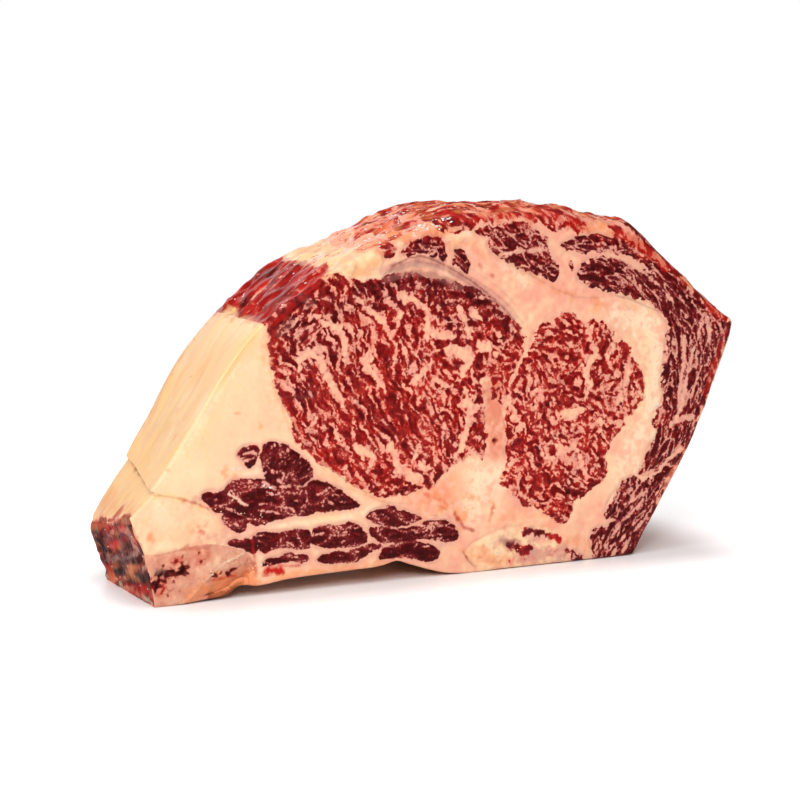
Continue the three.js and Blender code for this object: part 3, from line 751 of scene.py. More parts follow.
# Folds that stand out of the front cut, and cracks in it; their amounts are millimetres.
RAISED = strokes(
    (1.1, 4.5, 2.2, (74, 126.8), (82, 128.4), (91, 130.4)),
    (0.5, 1.0, 0.7, (78, 126.6), (85, 129.4), (92, 131.6)),
    (0.3, 1.4, 0.8, (78, 122.4), (88, 121.8), (95, 122.9), (104.9, 125.9), (110.7, 127.3), (120, 125.3),
     (127, 121.9), (138, 116), (150, 107)),
    (0.8, 2.2, 1.0, (51, 106), (56, 111), (62, 116.2), (68, 120)),
    (0.6, 1.6, 1.0, (139, 8), (145, 4.6), (152, 2.8)),
    (0.5, 1.4, 0.9, (118, 24.6), (126, 24.2), (131, 20.6)), (0.5, 2.0, 1.4, (166, 7), (178, 7)),
    (0.5, 1.6, 1.0, (131, 138), (136, 138)), (0.5, 3, 2, (46, 104), (44, 97)))
SUNK = strokes(
    (0.9, 0.7, 0.5, (133.4, 9), (136.4, 4.6), (139.6, 1.6)),
    (0.7, 0.7, 0.5, (130, 23.4), (133, 19.6), (137, 17.6)),
    (0.25, 0.6, 0.5, (101, 126.8), (108.4, 129.5), (113, 130.4), (120, 128.4), (129.4, 123.6), (136.5, 119.5),
     (146.1, 112.4), (153.4, 106)),
    (0.9, 2.0, 1.0, (154.6, 9.6), (158, 9), (163, 7.8)),
    (0.8, 1.2, 0.8, (162.6, 14.5), (168, 14.6), (178, 10.4)),
    (0.9, 2.6, 1.2, (1.4, 13.4), (8, 12.8), (14, 14)), (0.5, 0.6, 0.5, (54, 77.6), (66, 76.6)))


@dataclass
class Relief:
    """Heights of the roast's surface above its plain form."""

    tissues: Sequence["Tissue"]
    pitch: float = 0.4
    skin_pitch: float = 0.35
    swell: tuple[tuple[float, float], ...] = ((9.0, 0.34), (2.6, 0.085))
    fold_edge: float = 1.6
    grain: tuple[float, float, float] = (0.6, 1.6, 0.13)
    fat_grain: float = 0.3
    groove: tuple[float, float] = (0.6, 0.42)
    bulge: tuple[float, float] = (2.2, 0.35)
    flake_edge: Path = ((11, -1), (18, 6), (23, 10.8), (29, 14.8), (38, 18))
    flake_ends: tuple[float, float] = (9.0, 39.0)
    flake_slant: float = 0.72
    flake_fall: tuple[float, float] = (9.0, 2.5)
    flake_step: tuple[float, float] = (0.7, 0.55)
    skin_margin: tuple[float, float] = (10.0, 34.0)
    stretch_overlap: float = 3.0
    vessel: tuple[float, float] = (147.7, 54.0)
    vessel_reach: tuple[float, float] = (0.2, 1.35)
    vessel_depth: float = 3.0
    highest: float = 1.6
    tip: tuple[float, float, float, float] = (183.0, -13.0, 1.7, 1.1)
    tip_above: float = 140.0
    seeds: tuple[int, int] = (400, 500)

    def cut_height(self, x: Array, z: Array, share: float, seed: int) -> Array:
        """Height of a cut face: a soft swell, fine grain and a groove round each tissue."""
        raster = Raster(*FACE_BOX, self.pitch)
        height = raster.mixed(seed, self.swell)
        if share < 0.5:
            wobble = raster.noise(seed + 3, self.fold_edge)
            height += laid(RAISED, raster, wobble) - laid(SUNK, raster, wobble)
        solid = raster.filled([tissue.carry.moved(tissue.loop, share) for tissue in self.tissues])
        width, deep = self.groove
        soft = raster.softened(solid, width)
        finest, coarsest, grain = self.grain
        height += raster.noise(seed + 2, finest, coarsest) * grain * (
            self.fat_grain + (1 - self.fat_grain) * soft)
        height -= deep * 4 * soft * (1 - soft)
        width, high = self.bulge
        height += high * (raster.softened(solid, width) - 0.5)
        return raster.read(height, x, z)

    def flake(self, x: Array, z: Array) -> Array:
        """Depth of the rib's curved skin below the saw cut, past the flake's edge."""
        edge = np.interp(x, *np.array(self.flake_edge).T)
        start, end = self.flake_ends
        past = (edge - z) * self.flake_slant * (x > start) * (x < end)
        return sum(depth * ease(0.0, width, past) for width, depth in (self.flake_fall, self.flake_step))

    def skin_height(self, along: Array, y: Array, outline: Outline) -> Array:
        """Height of the outer skin, from the grain of its stretches."""
        end, side = self.skin_margin
        raster = Raster((-end, -side), (outline.length + end, side), self.skin_pitch)
        height = np.zeros(len(along))
        for grain in SKIN_GRAINS:
            weight = outline.weight(along, grain.stretches, self.stretch_overlap)
            used = np.flatnonzero(weight > 0)
            pattern = raster.streaks(grain.seed, grain.across, grain.along, grain.angle, 0.0)
            height[used] += grain.height * weight[used] * raster.read(pattern, along[used], y[used])
        return height

    def height(self, vertices: Array, normals: Array, slab: Slab) -> Array:
        """The height at each point of the slab.

        Args:
            vertices: the plain slab's points.
            normals: their outward normals; not used.
            slab: the slab that they belong to.

        Returns:
            How far each point moves out along its normal.
        """
        x, y, z = vertices.T
        places = Locator(slab).find(vertices)
        result = np.zeros(len(x))
        for side, seed in zip((-1, 1), self.seeds):
            own = np.flatnonzero((y * side > 0) & (places.skin < 1))
            cut = self.cut_height(x[own], z[own], 0.5 + 0.5 * side, seed)
            if side < 0:
                cut -= self.flake(x[own], z[own])
                away = np.hypot(x[own] - self.vessel[0], z[own] - self.vessel[1])
                cut -= self.vessel_depth * (1 - ease(*self.vessel_reach, away))
            result[own] += cut * (1 - places.skin[own])
        skinned = np.flatnonzero(places.skin > 0)
        skin = self.skin_height(places.along[skinned], y[skinned], slab.outline)
        result[skinned] += skin * places.skin[skinned]
        resting = ease(0.0, 2.0, z)
        tip_x, tip_y, rise, reach = self.tip
        away = np.where(z < self.tip_above, np.inf, np.hypot(x - tip_x, y - tip_y))
        return np.minimum(result, self.highest) * resting + rise * np.exp(-(away / reach) ** 2)


# ------------------------------------------------------------------------------- marbling

def spread(anchors: Iterable[tuple[float, float, float]], raster: Raster, soft: float = 12.0) -> Array:
    """Spreads values that are known at a few places smoothly over a raster."""
    u, v = raster.grid()
    value, total = np.zeros_like(u), np.zeros_like(u)
    for x, z, amount in anchors:
        weight = ((u - x) ** 2 + (v - z) ** 2 + soft) ** -1.5
        value += weight * amount
        total += weight
    return value / total


@dataclass(frozen=True)
class Fibre:
    """The run of the fibres near one place: their angle and how strongly they comb the fat."""

    x: float
    z: float
    angle: float
    combed: float


@dataclass(frozen=True)
class Vein:
    """A broad vein of fat on the front cut."""

    path: Path
    widths: tuple[float, ...]


@dataclass(frozen=True)
class Marbling:
    """Fat in a muscle: combed streaks and blots of noise, with listed veins."""

    seed: int
    share: float
    fibres: tuple[Fibre, ...]
    veins: tuple[Vein, ...] = ()
    comb: tuple[tuple[float, float, float, float], ...] = ((0.40, 1.6, 1.7, 1.0), (0.26, 0.8, 0.9, 0.32))
    blot: tuple[tuple[float, float, float, float], ...] = ((0.50, 0.9, 1.7, 1.0), (0.30, 0.45, 0.9, 0.40))
    wander: float = 0.8
    web: tuple[float, float, float, float] = (0.9, 2.0, 0.1, 0.0)
    fleck: float = 0.30
    contrast: float = 0.44
    grain: float = 0.10
    uneven: float = 0.30
    fray: float = 1.0
    grow: float = 0.0
    membrane: float = 0.0
    rough: float = 1.0
    thin: float = 0.25
    aged: float = 0.12
    spill: tuple[Stroke, ...] = ()
    bare: tuple[Stroke, ...] = ()
    steps: int = 12
    fibre_soft: float = 20.0
    wander_size: float = 2.0
    shiver: tuple[float, float] = (0.35, 0.25)
    uneven_size: float = 5.0
    web_edge: float = 1.6
    fleck_change: tuple[float, float] = (1.4, 0.12)
    vein_edge: tuple[tuple[float, float], ...] = ((0.7, 0.55), (2.2, 0.45), (0.35, 0.3))
    vein_margin: float = 6.0
    richness: tuple[float, float, float] = (0.8, 1.2, 0.3)
    grain_sizes: tuple[float, float] = (0.22, 0.6)

    def run(self, raster: Raster) -> tuple[Array, Array]:
        """Direction of the fibres in radians and how combed they are, over a raster."""
        doubled = [2 * math.radians(fibre.angle) for fibre in self.fibres]
        sine, cosine, combed = (
            spread([(f.x, f.z, value) for f, value in zip(self.fibres, values)], raster, self.fibre_soft)
            for values in (map(math.sin, doubled), map(math.cos, doubled), [f.combed for f in self.fibres]))
        return 0.5 * np.arctan2(sine, cosine), combed

    def turned(
            self, raster: Raster, layers: Sequence[tuple[float, ...]], direction: Array, seed: int) -> Array:
        """Streaks that follow a direction from place to place, with a spread of 1."""
        place = (direction / np.pi * self.steps) % self.steps
        total = np.zeros_like(direction)
        for number, (across, along, coarsest, amount) in enumerate(layers):
            layer, weights = np.zeros_like(direction), np.zeros_like(direction)
            for k in range(self.steps):
                away = np.abs((place - k + self.steps / 2) % self.steps - self.steps / 2)
                weight = np.clip(1 - away, 0, 1)
                if weight.max() > 0:
                    layer += weight * raster.streaks(
                        seed + number, across, along, 180.0 * k / self.steps, coarsest)
                    weights += weight**2
            total += amount * layer / np.sqrt(np.maximum(weights, 1e-6))
        return total / total.std()

    def pattern(self, raster: Raster) -> Array:
        """The share of fat over a raster: above 0 is fat, below is lean."""
        direction, combed = self.run(raster)
        streaks = self.turned(raster, self.comb, direction, self.seed)
        blots = self.turned(raster, self.blot, direction, self.seed + 5)
        mixed = (streaks * combed + blots * (1 - combed)) / np.hypot(combed, 1 - combed)
        u, v = raster.grid()
        for (size, reach), seed in (((self.wander_size, self.wander), 11), (self.shiver, 13)):
            du = raster.noise(self.seed + seed, size) * reach
            dv = raster.noise(self.seed + seed + 1, size) * reach
            mixed = raster.read(mixed, u + du, v + dv)
        level = NormalDist().inv_cdf(1 - self.share)
        uneven = raster.noise(self.seed + 31, self.uneven_size) * self.uneven
        amount = (mixed / mixed.std() + uneven - level) * self.contrast
        across, along, width, strength = self.web
        if strength:
            net = self.turned(raster, ((across, along, 0.0, 1.0),), direction, self.seed + 51)
            amount = np.maximum(amount, np.minimum((width - np.abs(net)) * self.web_edge / across, strength))
        size, change = self.fleck_change
        return np.minimum(amount, self.fleck + change * raster.noise(self.seed + 61, size))

    def field(self, raster: Raster) -> Array:
        """The pattern with the veins laid over it."""
        amount = self.pattern(raster)
        if self.veins:
            wobble = self.rough * raster.mixed(self.seed + 21, self.vein_edge) - self.thin
            level, size, change = self.richness
            richest = level + change * raster.noise(self.seed + 24, size)
        for vein in self.veins:
            path, widths = np.array(vein.path, float), np.array(vein.widths, float)
            part, cells = raster.window(path.min(0) - self.vein_margin, path.max(0) + self.vein_margin)
            u, v = (grid.ravel() for grid in part.grid())
            reach = reach_of_path(path, widths, u, v).reshape(part.shape)
            rich = np.minimum(reach + wobble[cells], richest[cells])
            amount[cells] = np.maximum(amount[cells], rich)
        return amount + self.grain * raster.noise(self.seed + 41, *self.grain_sizes)


def vein(*stops: tuple[float, float, float]) -> Vein:
    """A vein through stops of x, z and width."""
    return Vein(tuple((x, z) for x, z, _ in stops), tuple(width for _, _, width in stops))


EYE_JOINT = strokes((1.0, 3.6, 0.8, (152, 70), (152.6, 80), (153.6, 88), (156, 97)))

EYE_MARBLING = Marbling(
    seed=100, share=0.34, spill=EYE_JOINT,
    bare=strokes((1.0, 2.6, 1.0, (50, 105), (55, 110.4), (62, 116), (69, 120.6)),
                 (0.35, 3, 1.5, (86, 119.6), (100, 121), (112, 121.4), (124, 118.6), (138, 112), (152, 100))),
    fibres=tuple(Fibre(*f) for f in (
        (55, 92, -62, 0.3), (58, 75, -55, 0.6), (68, 60, -50, 0.9), (80, 48, -45, 0.6),
        (75, 80, -62, 0.7), (90, 95, -72, 0.6), (80, 108, -68, 0.6), (95, 75, -63, 1),
        (85, 62, -63, 1), (105, 60, -62, 1), (105, 88, -72, 0.6), (120, 105, -85, 0),
        (115, 75, -62, 0.5), (125, 60, -60, 0.6), (140, 60, -85, 0.2), (122, 88, -45, 0),
        (135, 85, -40, 0), (150, 95, -40, 0), (145, 107, -30, 0), (100, 40, -20, 0),
        (115, 115, -75, 0.1), (60, 105, 35, 0), (150, 82, -35, 0), (130, 104, 0, 0))),
    veins=(
        vein((67, 109, 3), (72, 105.5, 3.4), (78, 102.5, 3.6), (80.5, 97, 2.8), (79.5, 91, 1.6)),
        vein((55, 86.5, 2), (60, 87.5, 2.4), (61, 91, 3.2), (65, 94, 3.4), (69, 92, 3.2), (71, 86, 2.4),
             (75, 80, 2.6), (78, 75, 2.2), (80, 71, 1.4)),
        vein((85, 115, 2.4), (91, 110, 3.8), (94, 107, 3.4), (97, 105, 2.4)),
        vein((107, 112, 2.8), (104.5, 107, 3.4), (103, 102, 3.2), (101, 99, 1.4)),
        vein((106, 115, 1.4), (112, 112, 2), (117, 108, 2.6), (116.6, 99, 2.8), (117, 95, 1.8)),
        vein((119, 98.5, 2.4), (124, 99, 3.4), (128, 97.5, 1.8)),
        vein((131, 108, 3.8), (134, 101, 3.2), (137, 95, 3), (143, 93, 3.8), (148, 89, 2.8)),
        vein((136, 107, 2.8), (140, 105, 1.6)),
        vein((119, 92, 1.4), (124, 93, 2.2), (129, 91.5, 3.6), (133, 90, 4.4)),
        vein((134, 92, 3.6), (134.5, 87, 5), (133, 82, 4.6)),
        vein((84, 92, 1.6), (89, 90, 2.2), (92, 92.5, 1.8)),
        vein((88, 86, 2.2), (91, 86, 2.6), (94, 84, 2.2), (97, 80, 1.8), (98, 77, 1.6)),
        vein((87.5, 84, 1.4), (90, 80, 1.6), (94, 78.6, 2.2)),
        vein((110, 79, 2.8), (112, 83, 2.4), (115, 84, 2.2), (118, 88, 1.8)),
        vein((121, 80, 2), (126, 77, 1.8), (130, 80, 2)),
        vein((135, 75, 2.4), (134, 70, 3), (137, 68.5, 3.2), (142, 68.5, 2.4)),
        vein((143, 79, 4), (144, 74, 4), (144, 70, 4)),
        vein((76, 60, 3.4), (78, 59, 3)),
        vein((84, 56, 2), (88, 53, 4.4), (93, 51, 4.4), (90, 47, 2.4)),
        vein((76, 48.5, 2), (80, 47.5, 2.2)),
        vein((100, 56, 2.4), (102, 51, 4), (104, 46, 5.4), (108, 43, 5.8), (113, 40, 4.4)),
        vein((113, 46, 2.8), (117, 45, 3), (122, 44, 1)),
        vein((110, 48, 2), (112, 52, 1.6), (113.5, 55, 1.2)),
        vein((97, 38, 1.6), (98.5, 42, 2)),
        vein((123, 64, 1.6), (127, 54, 2), (130.6, 46, 3)),
        vein((135.5, 67, 3), (134, 58, 2.8), (130.6, 51, 2.8)),
        vein((136, 50, 2.2), (140, 46, 3)),
        vein((66, 66, 2), (67.5, 69, 2))))

INNER_MARBLING = Marbling(
    seed=200, share=0.36, spill=EYE_JOINT,
    fibres=tuple(Fibre(*f) for f in (
        (156, 80, -60, 0), (165, 72, -88, 0.3), (160, 62, -70, 0.2), (172, 95, 10, 0),
        (180, 100, -15, 0.1), (175, 85, -25, 0.1), (185, 75, -20, 0.1), (195, 95, 80, 0),
        (200, 80, 50, 0), (212, 75, -80, 0.1), (200, 65, -15, 0.1), (165, 45, -55, 0.1),
        (175, 35, -40, 0.2), (190, 50, -35, 0.1), (180, 25, -30, 0.2), (160, 35, -50, 0.2),
        (195, 38, -40, 0.2))),
    veins=(
        vein((163.6, 82, 0.8), (163.2, 70, 1.2), (163.6, 60, 0.8)),
        vein((166.8, 80, 0.9), (166.4, 70, 1.3), (166.8, 60, 1)),
        vein((193, 99, 2.2), (192, 94, 2.8), (196, 88, 3.4), (191, 81, 2.6), (193, 74, 2.4), (190, 67, 1.8)),
        vein((177, 63, 3.6), (183, 62, 5.6), (189, 64, 3.2)),
        vein((169, 51, 1.6), (171, 45, 2.4), (176, 44, 2.8), (180, 47.5, 2.4), (186, 49, 2.8),
            (190, 41, 1.6)),
        vein((195, 57, 3.2), (199, 61, 3.8)), vein((202, 86, 2.6), (205, 92, 2.6)),
        vein((210.5, 74, 3.2), (213, 83, 2)), vein((206, 66.5, 1.8), (208.5, 68, 1.8)),
        vein((174, 57, 1.6), (176.5, 50, 1.8)), vein((155.5, 44, 2.2), (158, 46, 2)),
        vein((150, 62, 2.4), (153.6, 70, 3.8), (157.6, 62, 2.4)),
        vein((197, 77, 2.4), (199, 78, 2)), vein((158, 91, 2.4), (155.6, 88, 1.6)),
        vein((186, 81, 1.6), (189, 83, 1.6)), vein((157.5, 57, 2), (160, 60, 1.8))))

FINE_COMB = ((0.32, 1.3, 1.3, 1.0), (0.25, 0.7, 1.0, 0.35))
FINE_BLOT = ((0.36, 0.7, 1.3, 1.0), (0.28, 0.4, 1.0, 0.45))

CAP_MARBLING = Marbling(
    seed=300, share=0.13, comb=FINE_COMB, blot=FINE_BLOT, wander=0.5, web=(0.75, 3.0, 0.2, 0.22), grow=0.15,
    membrane=0.3, aged=0.72, fleck=0.24, rough=0.5, thin=0.0,
    spill=strokes(
        (1, 5, 1, (262.4, 96), (258.4, 85), (251, 67.4), (243, 50), (234, 35), (225, 20), (217, 6),
            (212, -2)),
        (1, 1.9, 0.5, (183.2, 125.2), (183.9, 122.6))),
    fibres=tuple(Fibre(*f) for f in (
        (190, 122, -8, 0.8), (205, 116, -20, 0.8), (220, 112, -40, 0.8), (232, 100, -60, 0.7),
        (240, 85, -82, 0.8), (243, 70, 80, 0.8), (236, 55, 70, 0.7), (228, 42, 60, 0.6),
        (250, 88, 85, 0.6), (205, 132, -25, 0.4), (225, 125, -42, 0.6), (240, 113, -50, 0.6),
        (252, 103, -50, 0.6), (205, 25, 55, 0.5), (200, 8, 60, 0.5), (225, 30, 50, 0.5),
        (215, 15, 50, 0.5))),
    veins=(
        vein((249, 101, 1.2), (247, 93, 1.4), (243.4, 82, 2), (240.6, 70, 2.2), (239, 61, 1.6),
            (234, 54, 1)),
        vein((239.6, 92, 0.9), (240, 80, 1.4), (238.4, 70, 1.4), (237.6, 62, 1)),
        vein((251, 101, 2.2), (252.6, 94, 2.6), (253, 87, 1.4)),
        vein((234, 55, 1.6), (241, 57.4, 2), (245, 57, 2.4)),
        vein((249, 79, 0.9), (246, 72, 1), (244, 66, 0.9)),
        vein((252, 76, 0.7), (248.6, 68, 0.9), (246, 62, 0.7)),
        vein((219, 33.4, 1.8), (228, 36, 1.4), (239, 43.4, 2)),
        vein((210, 22, 0.9), (216, 24, 1.1), (222, 27, 0.9)),
        vein((199, 2, 0.9), (203, 7, 1.1), (208, 13, 1.2), (215, 19, 1), (221, 24, 0.8)),
        vein((205, 1, 0.9), (209, 7, 1), (215, 13, 0.9)),
        vein((210, 2, 0.8), (214, 8, 0.9), (220, 14, 0.8)),
        vein((203.6, 16, 1), (208, 15.4, 0.8)), vein((211, 27, 1.6), (214.6, 28.4, 2)),
        vein((206, 127, 0.9), (216, 122, 1.1), (226, 115, 1), (234, 107, 0.9)),
        vein((215, 108, 0.7), (224, 106, 0.9), (231, 99, 0.8))))

TORN_MARBLING = Marbling(
    seed=650, share=0.42, wander=0.9, grow=0.25, aged=0.0, fray=1.8, contrast=0.5, fleck=0.36,
    comb=((0.45, 2.4, 2.4, 1.0), (0.28, 0.9, 0.9, 0.35)), blot=((0.8, 1.2, 2.4, 1.0), (0.32, 0.5, 0.9, 0.4)),
    spill=strokes(
        (1, 3, 1.2, (122, 141.4), (129, 141), (136, 141.4)),
        (1, 3.4, 1.6, (168, 146.6), (176, 142.4), (187, 139.6)),
        (1, 4.6, 1.4, (204, 139.6), (214, 133.4), (224, 127.4), (230, 123.4)),
        (1, 3, 1.2, (97, 135.6), (100.4, 132.4)),
        (0.9, 3.6, 1.2, (236, 119), (244, 113), (251, 107), (261, 98.6)),
        (0.8, 2.4, 1.2, (98, 140.4), (112, 141.6))),
    fibres=tuple(Fibre(*f) for f in (
        (100, 135, -45, 0.3), (108, 141, 4, 0.9), (129, 141, 0, 0.7), (130, 146, -60, 0.2),
        (150, 146, -50, 0.2), (176, 143, -32, 0.6), (190, 142, -24, 0.9), (210, 136, -38, 0.9),
        (235, 120, -42, 0.9), (255, 104, -42, 0.5))))

CROWN_MARBLING = Marbling(
    seed=600, share=0.15, comb=FINE_COMB, blot=FINE_BLOT, wander=0.5, web=(0.75, 2.0, 0.18, 0.2), grow=0.15,
    membrane=0.3, aged=0.55, fleck=0.24, rough=0.5, thin=0.0,
    veins=(vein((149, 129.4, 1.2), (158, 131, 1.6), (172, 131.4, 1.8)),),
    fibres=(Fibre(160, 132, -30, 0.4), Fibre(115, 134, 10, 0.3), Fibre(185, 140, 15, 0.4),
            Fibre(131, 128, -60, 0.3)))

RIB_MARBLING = Marbling(
    seed=700, share=0.02, comb=FINE_COMB, blot=FINE_BLOT, wander=0.6, uneven=0.5, grain=0.16, fray=0.5,
    grow=0.30, membrane=0.5, aged=0.92, web=(1.6, 3.6, 0.035, 0.08), fleck=0.18, rough=0.3, thin=0.0,
    fibres=(Fibre(40, 40, 0, 0.5), Fibre(60, 36, -20, 0.5), Fibre(55, 50, 60, 0.3), Fibre(80, 20, 0, 0.8),
            Fibre(110, 18, -5, 0.8)),
    veins=(
        vein((43, 36.4, 0.6), (47, 36.2, 0.6), (52, 34.7, 0.6), (57, 33.6, 0.7), (58.4, 31.4, 0.5)),
        vein((59.6, 42.2, 0.5), (62.4, 41.4, 0.6), (65.8, 44.6, 0.7)),
        vein((62.6, 41.2, 0.4), (63.4, 38, 0.6), (63.4, 36, 0.8)),
        vein((45, 45, 0.9), (48.6, 42.4, 0.7), (51.6, 41.2, 0.5), (52, 39.6, 0.4)),
        vein((46.4, 41, 0.5), (49, 39.8, 0.6)),
        vein((50.6, 48.4, 0.5), (52.8, 49, 0.5), (53.8, 46.6, 0.5), (52.4, 44.2, 0.5), (51, 45.4, 0.4)),
        vein((54.4, 42.4, 0.4), (56, 42.8, 0.4), (56.6, 41.6, 0.4)), vein((51, 57.6, 0.5), (53.4, 56.2, 0.5)),
        vein((45.2, 55, 0.4), (46.4, 51.4, 0.5), (49, 48.6, 0.4)),
        vein((37, 56.6, 0.4), (40.4, 57, 0.6), (42.4, 56, 0.4)),
        vein((37.6, 53.8, 0.5), (41, 54.4, 0.5)), vein((30.6, 41.4, 1), (34, 39.4, 1.6), (36.8, 37, 1.2)),
        vein((25, 37.8, 0.5), (29, 36.2, 0.5), (33, 35, 0.5)),
        vein((44, 34, 0.4), (49, 33, 0.4), (53, 31.6, 0.4)),
        vein((68, 38, 0.4), (72, 39.6, 0.4)), vein((70, 22.6, 0.5), (66, 22.2, 0.6)),
        vein((48, 23, 0.5), (46, 20.6, 0.7)),
        vein((104, 24.6, 0.4), (112, 22, 0.5), (120, 20.6, 0.4)), vein((55, 20.4, 0.4), (57.6, 18.6, 0.4))))


# ------------------------------------------------------------------------------- painted faces

@dataclass(frozen=True)
class Bone:
    """Sawn bone: dense with fine pores, and marrow in lens-shaped rooms."""

    seed: int
    marrow: tuple[Stroke, ...]
    level: float = 0.75
    fine: float = 0.22
    pores: float = 0.30
    blend: float = 0.25
    broken: float = 0.55
    spill: tuple[Stroke, ...] = ()
    fine_size: float = 1.4
    pore_size: float = 0.35
    pore_least: float = 0.9
    room_edge: tuple[tuple[float, float], ...] = ((0.9, 0.5), (0.4, 0.5))
    room_size: float = 0.55
    room_level: float = -0.5

    def field(self, raster: Raster) -> Array:
        """The bone's pattern over a raster: above 0 is bone, below is marrow."""
        amount = self.level + self.fine * raster.noise(self.seed, self.fine_size)
        amount -= self.pores * np.maximum(raster.noise(self.seed + 1, self.pore_size) - self.pore_least, 0.0)
        soaked = laid(self.marrow, raster, raster.mixed(self.seed + 2, self.room_edge))
        room = self.room_level + self.broken * raster.noise(self.seed + 4, self.room_size)
        return amount + (np.minimum(room, amount) - amount) * soaked


RIB_BONE = Bone(
    seed=800,
    marrow=strokes(
        (1, 1.8, 1, (1.4, 13.6), (5.5, 13.2), (9, 13), (13, 13.6), (16, 15.2)),
        (0.9, 3.2, 1.6, (6, 12.2), (10, 12.6), (13, 14)), (0.65, 2, 1.6, (8.4, 16.8), (13, 16.6), (19, 18)),
        (0.75, 1.4, 1.2, (4, 9.8), (8, 9.2)), (0.95, 3.4, 1.6, (-1, 8.6), (0.6, 6.6), (2.4, 6)),
        (0.9, 2.2, 1.1, (23, 9.6), (28, 10.6), (32, 10.4), (35, 12.4)),
        (0.7, 1.4, 0.8, (26, 9), (31, 8.8), (34, 9.2))))

SPINE_BONE = Bone(
    seed=820, level=1.0, fine=0.26, pores=0.5, blend=2.0, broken=0.25,
    spill=strokes((1.0, 3, 1.0, (161, 14.8), (170, 14.2), (179, 10.4)), (1.0, 3, 1, (184, 4.4), (189, 2.6))),
    marrow=strokes(
        (1, 3.6, 0.9, (154.6, 9.6), (157.4, 9.2), (161, 8.2), (164.6, 7.4)),
        (1, 2.8, 0.8, (162.6, 14.6), (167, 14.7), (171.6, 13.4)),
        (1, 2.6, 0.8, (173, 12.6), (176.6, 11.2), (179, 9.4)),
        (0.45, 3.4, 1.8, (160, 4.6), (168, 4), (178, 4.4)), (0.4, 1.4, 1.4, (166, 11), (172, 10.4)),
        (0.9, 2.2, 0.9, (183, 4.4), (186, 3.4), (189.6, 1.4)), (0.5, 1.6, 1, (165, 6.6), (167, 4.4))))

# How pink the fat is, and how dark the lean is, near a place: x, z and a share.
FAT_WARMTH = (
    (40, 100, 0.0), (30, 80, 0.0), (15, 60, 0.0), (46, 80, 0.15), (50, 66, 0.2), (62, 54, 0.3), (5, 30, 0.1),
    (25, 25, 0.25), (60, 28, 0.2), (80, 28, 0.1), (100, 36, 0.35), (120, 30, 0.8), (112, 38, 0.4),
    (140, 40, 0.5), (140, 22, 0.65), (147, 60, 1.0), (147, 75, 1.0), (155, 30, 0.7), (175, 22, 0.65),
    (195, 15, 0.55), (190, 28, 0.45), (212, 30, 0.35), (224, 55, 0.5), (228, 80, 0.5), (226, 98, 0.5),
    (212, 106, 0.55), (195, 110, 0.85), (175, 112, 0.75), (160, 116, 0.7), (150, 120, 0.75), (135, 128, 0.7),
    (115, 132, 0.75), (122, 143, 0.8), (95, 130, 0.25), (80, 127, 0.15), (180, 135, 0.8), (155, 130, 0.85),
    (200, 140, 0.85), (225, 118, 0.8), (240, 112, 0.8), (255, 90, 0.6), (255, 75, 0.8), (245, 50, 0.8),
    (232, 32, 0.8), (50, 100, 0.4), (100, 7, 0.45), (60, 6, 0.5), (70, 16, 1.0), (110, 17, 0.9),
    (46, 20, 0.6))

LEAN_DARKNESS = (
    (60, 104, 0.7), (60, 82, 0.5), (85, 108, 0.45), (100, 118, 0.75), (120, 118, 0.8), (140, 112, 0.75),
    (152, 102, 0.6), (100, 92, 0.05), (125, 92, 0.25), (80, 70, 0.1), (105, 70, 0.0), (125, 70, 0.1),
    (140, 90, 0.25), (142, 66, 0.5), (100, 45, 0.15), (70, 56, 0.2), (160, 85, 0.15), (180, 92, 0.2),
    (200, 92, 0.2), (210, 70, 0.15), (185, 55, 0.1), (170, 40, 0.2), (182, 24, 0.45), (160, 60, 0.15),
    (240, 80, 0.5), (200, 120, 0.5), (245, 100, 0.3), (225, 45, 0.35), (160, 132, 0.4), (40, 36, 0.2),
    (130, 141, 0.8), (128, 146, 0.0), (142, 145, 0.0), (154, 146, 0.0), (163, 146, 0.05), (173, 145, 0.1),
    (180, 140, 0.5), (188, 140, 0.1), (206, 138, 0.0), (218, 131, 0.05), (230, 123, 0.1), (255, 104, 0.1),
    (98, 134, 0.2),
    (70, 40, 0.4), (60, 52, 0.3), (75, 18, 0.3), (110, 12, 0.5))


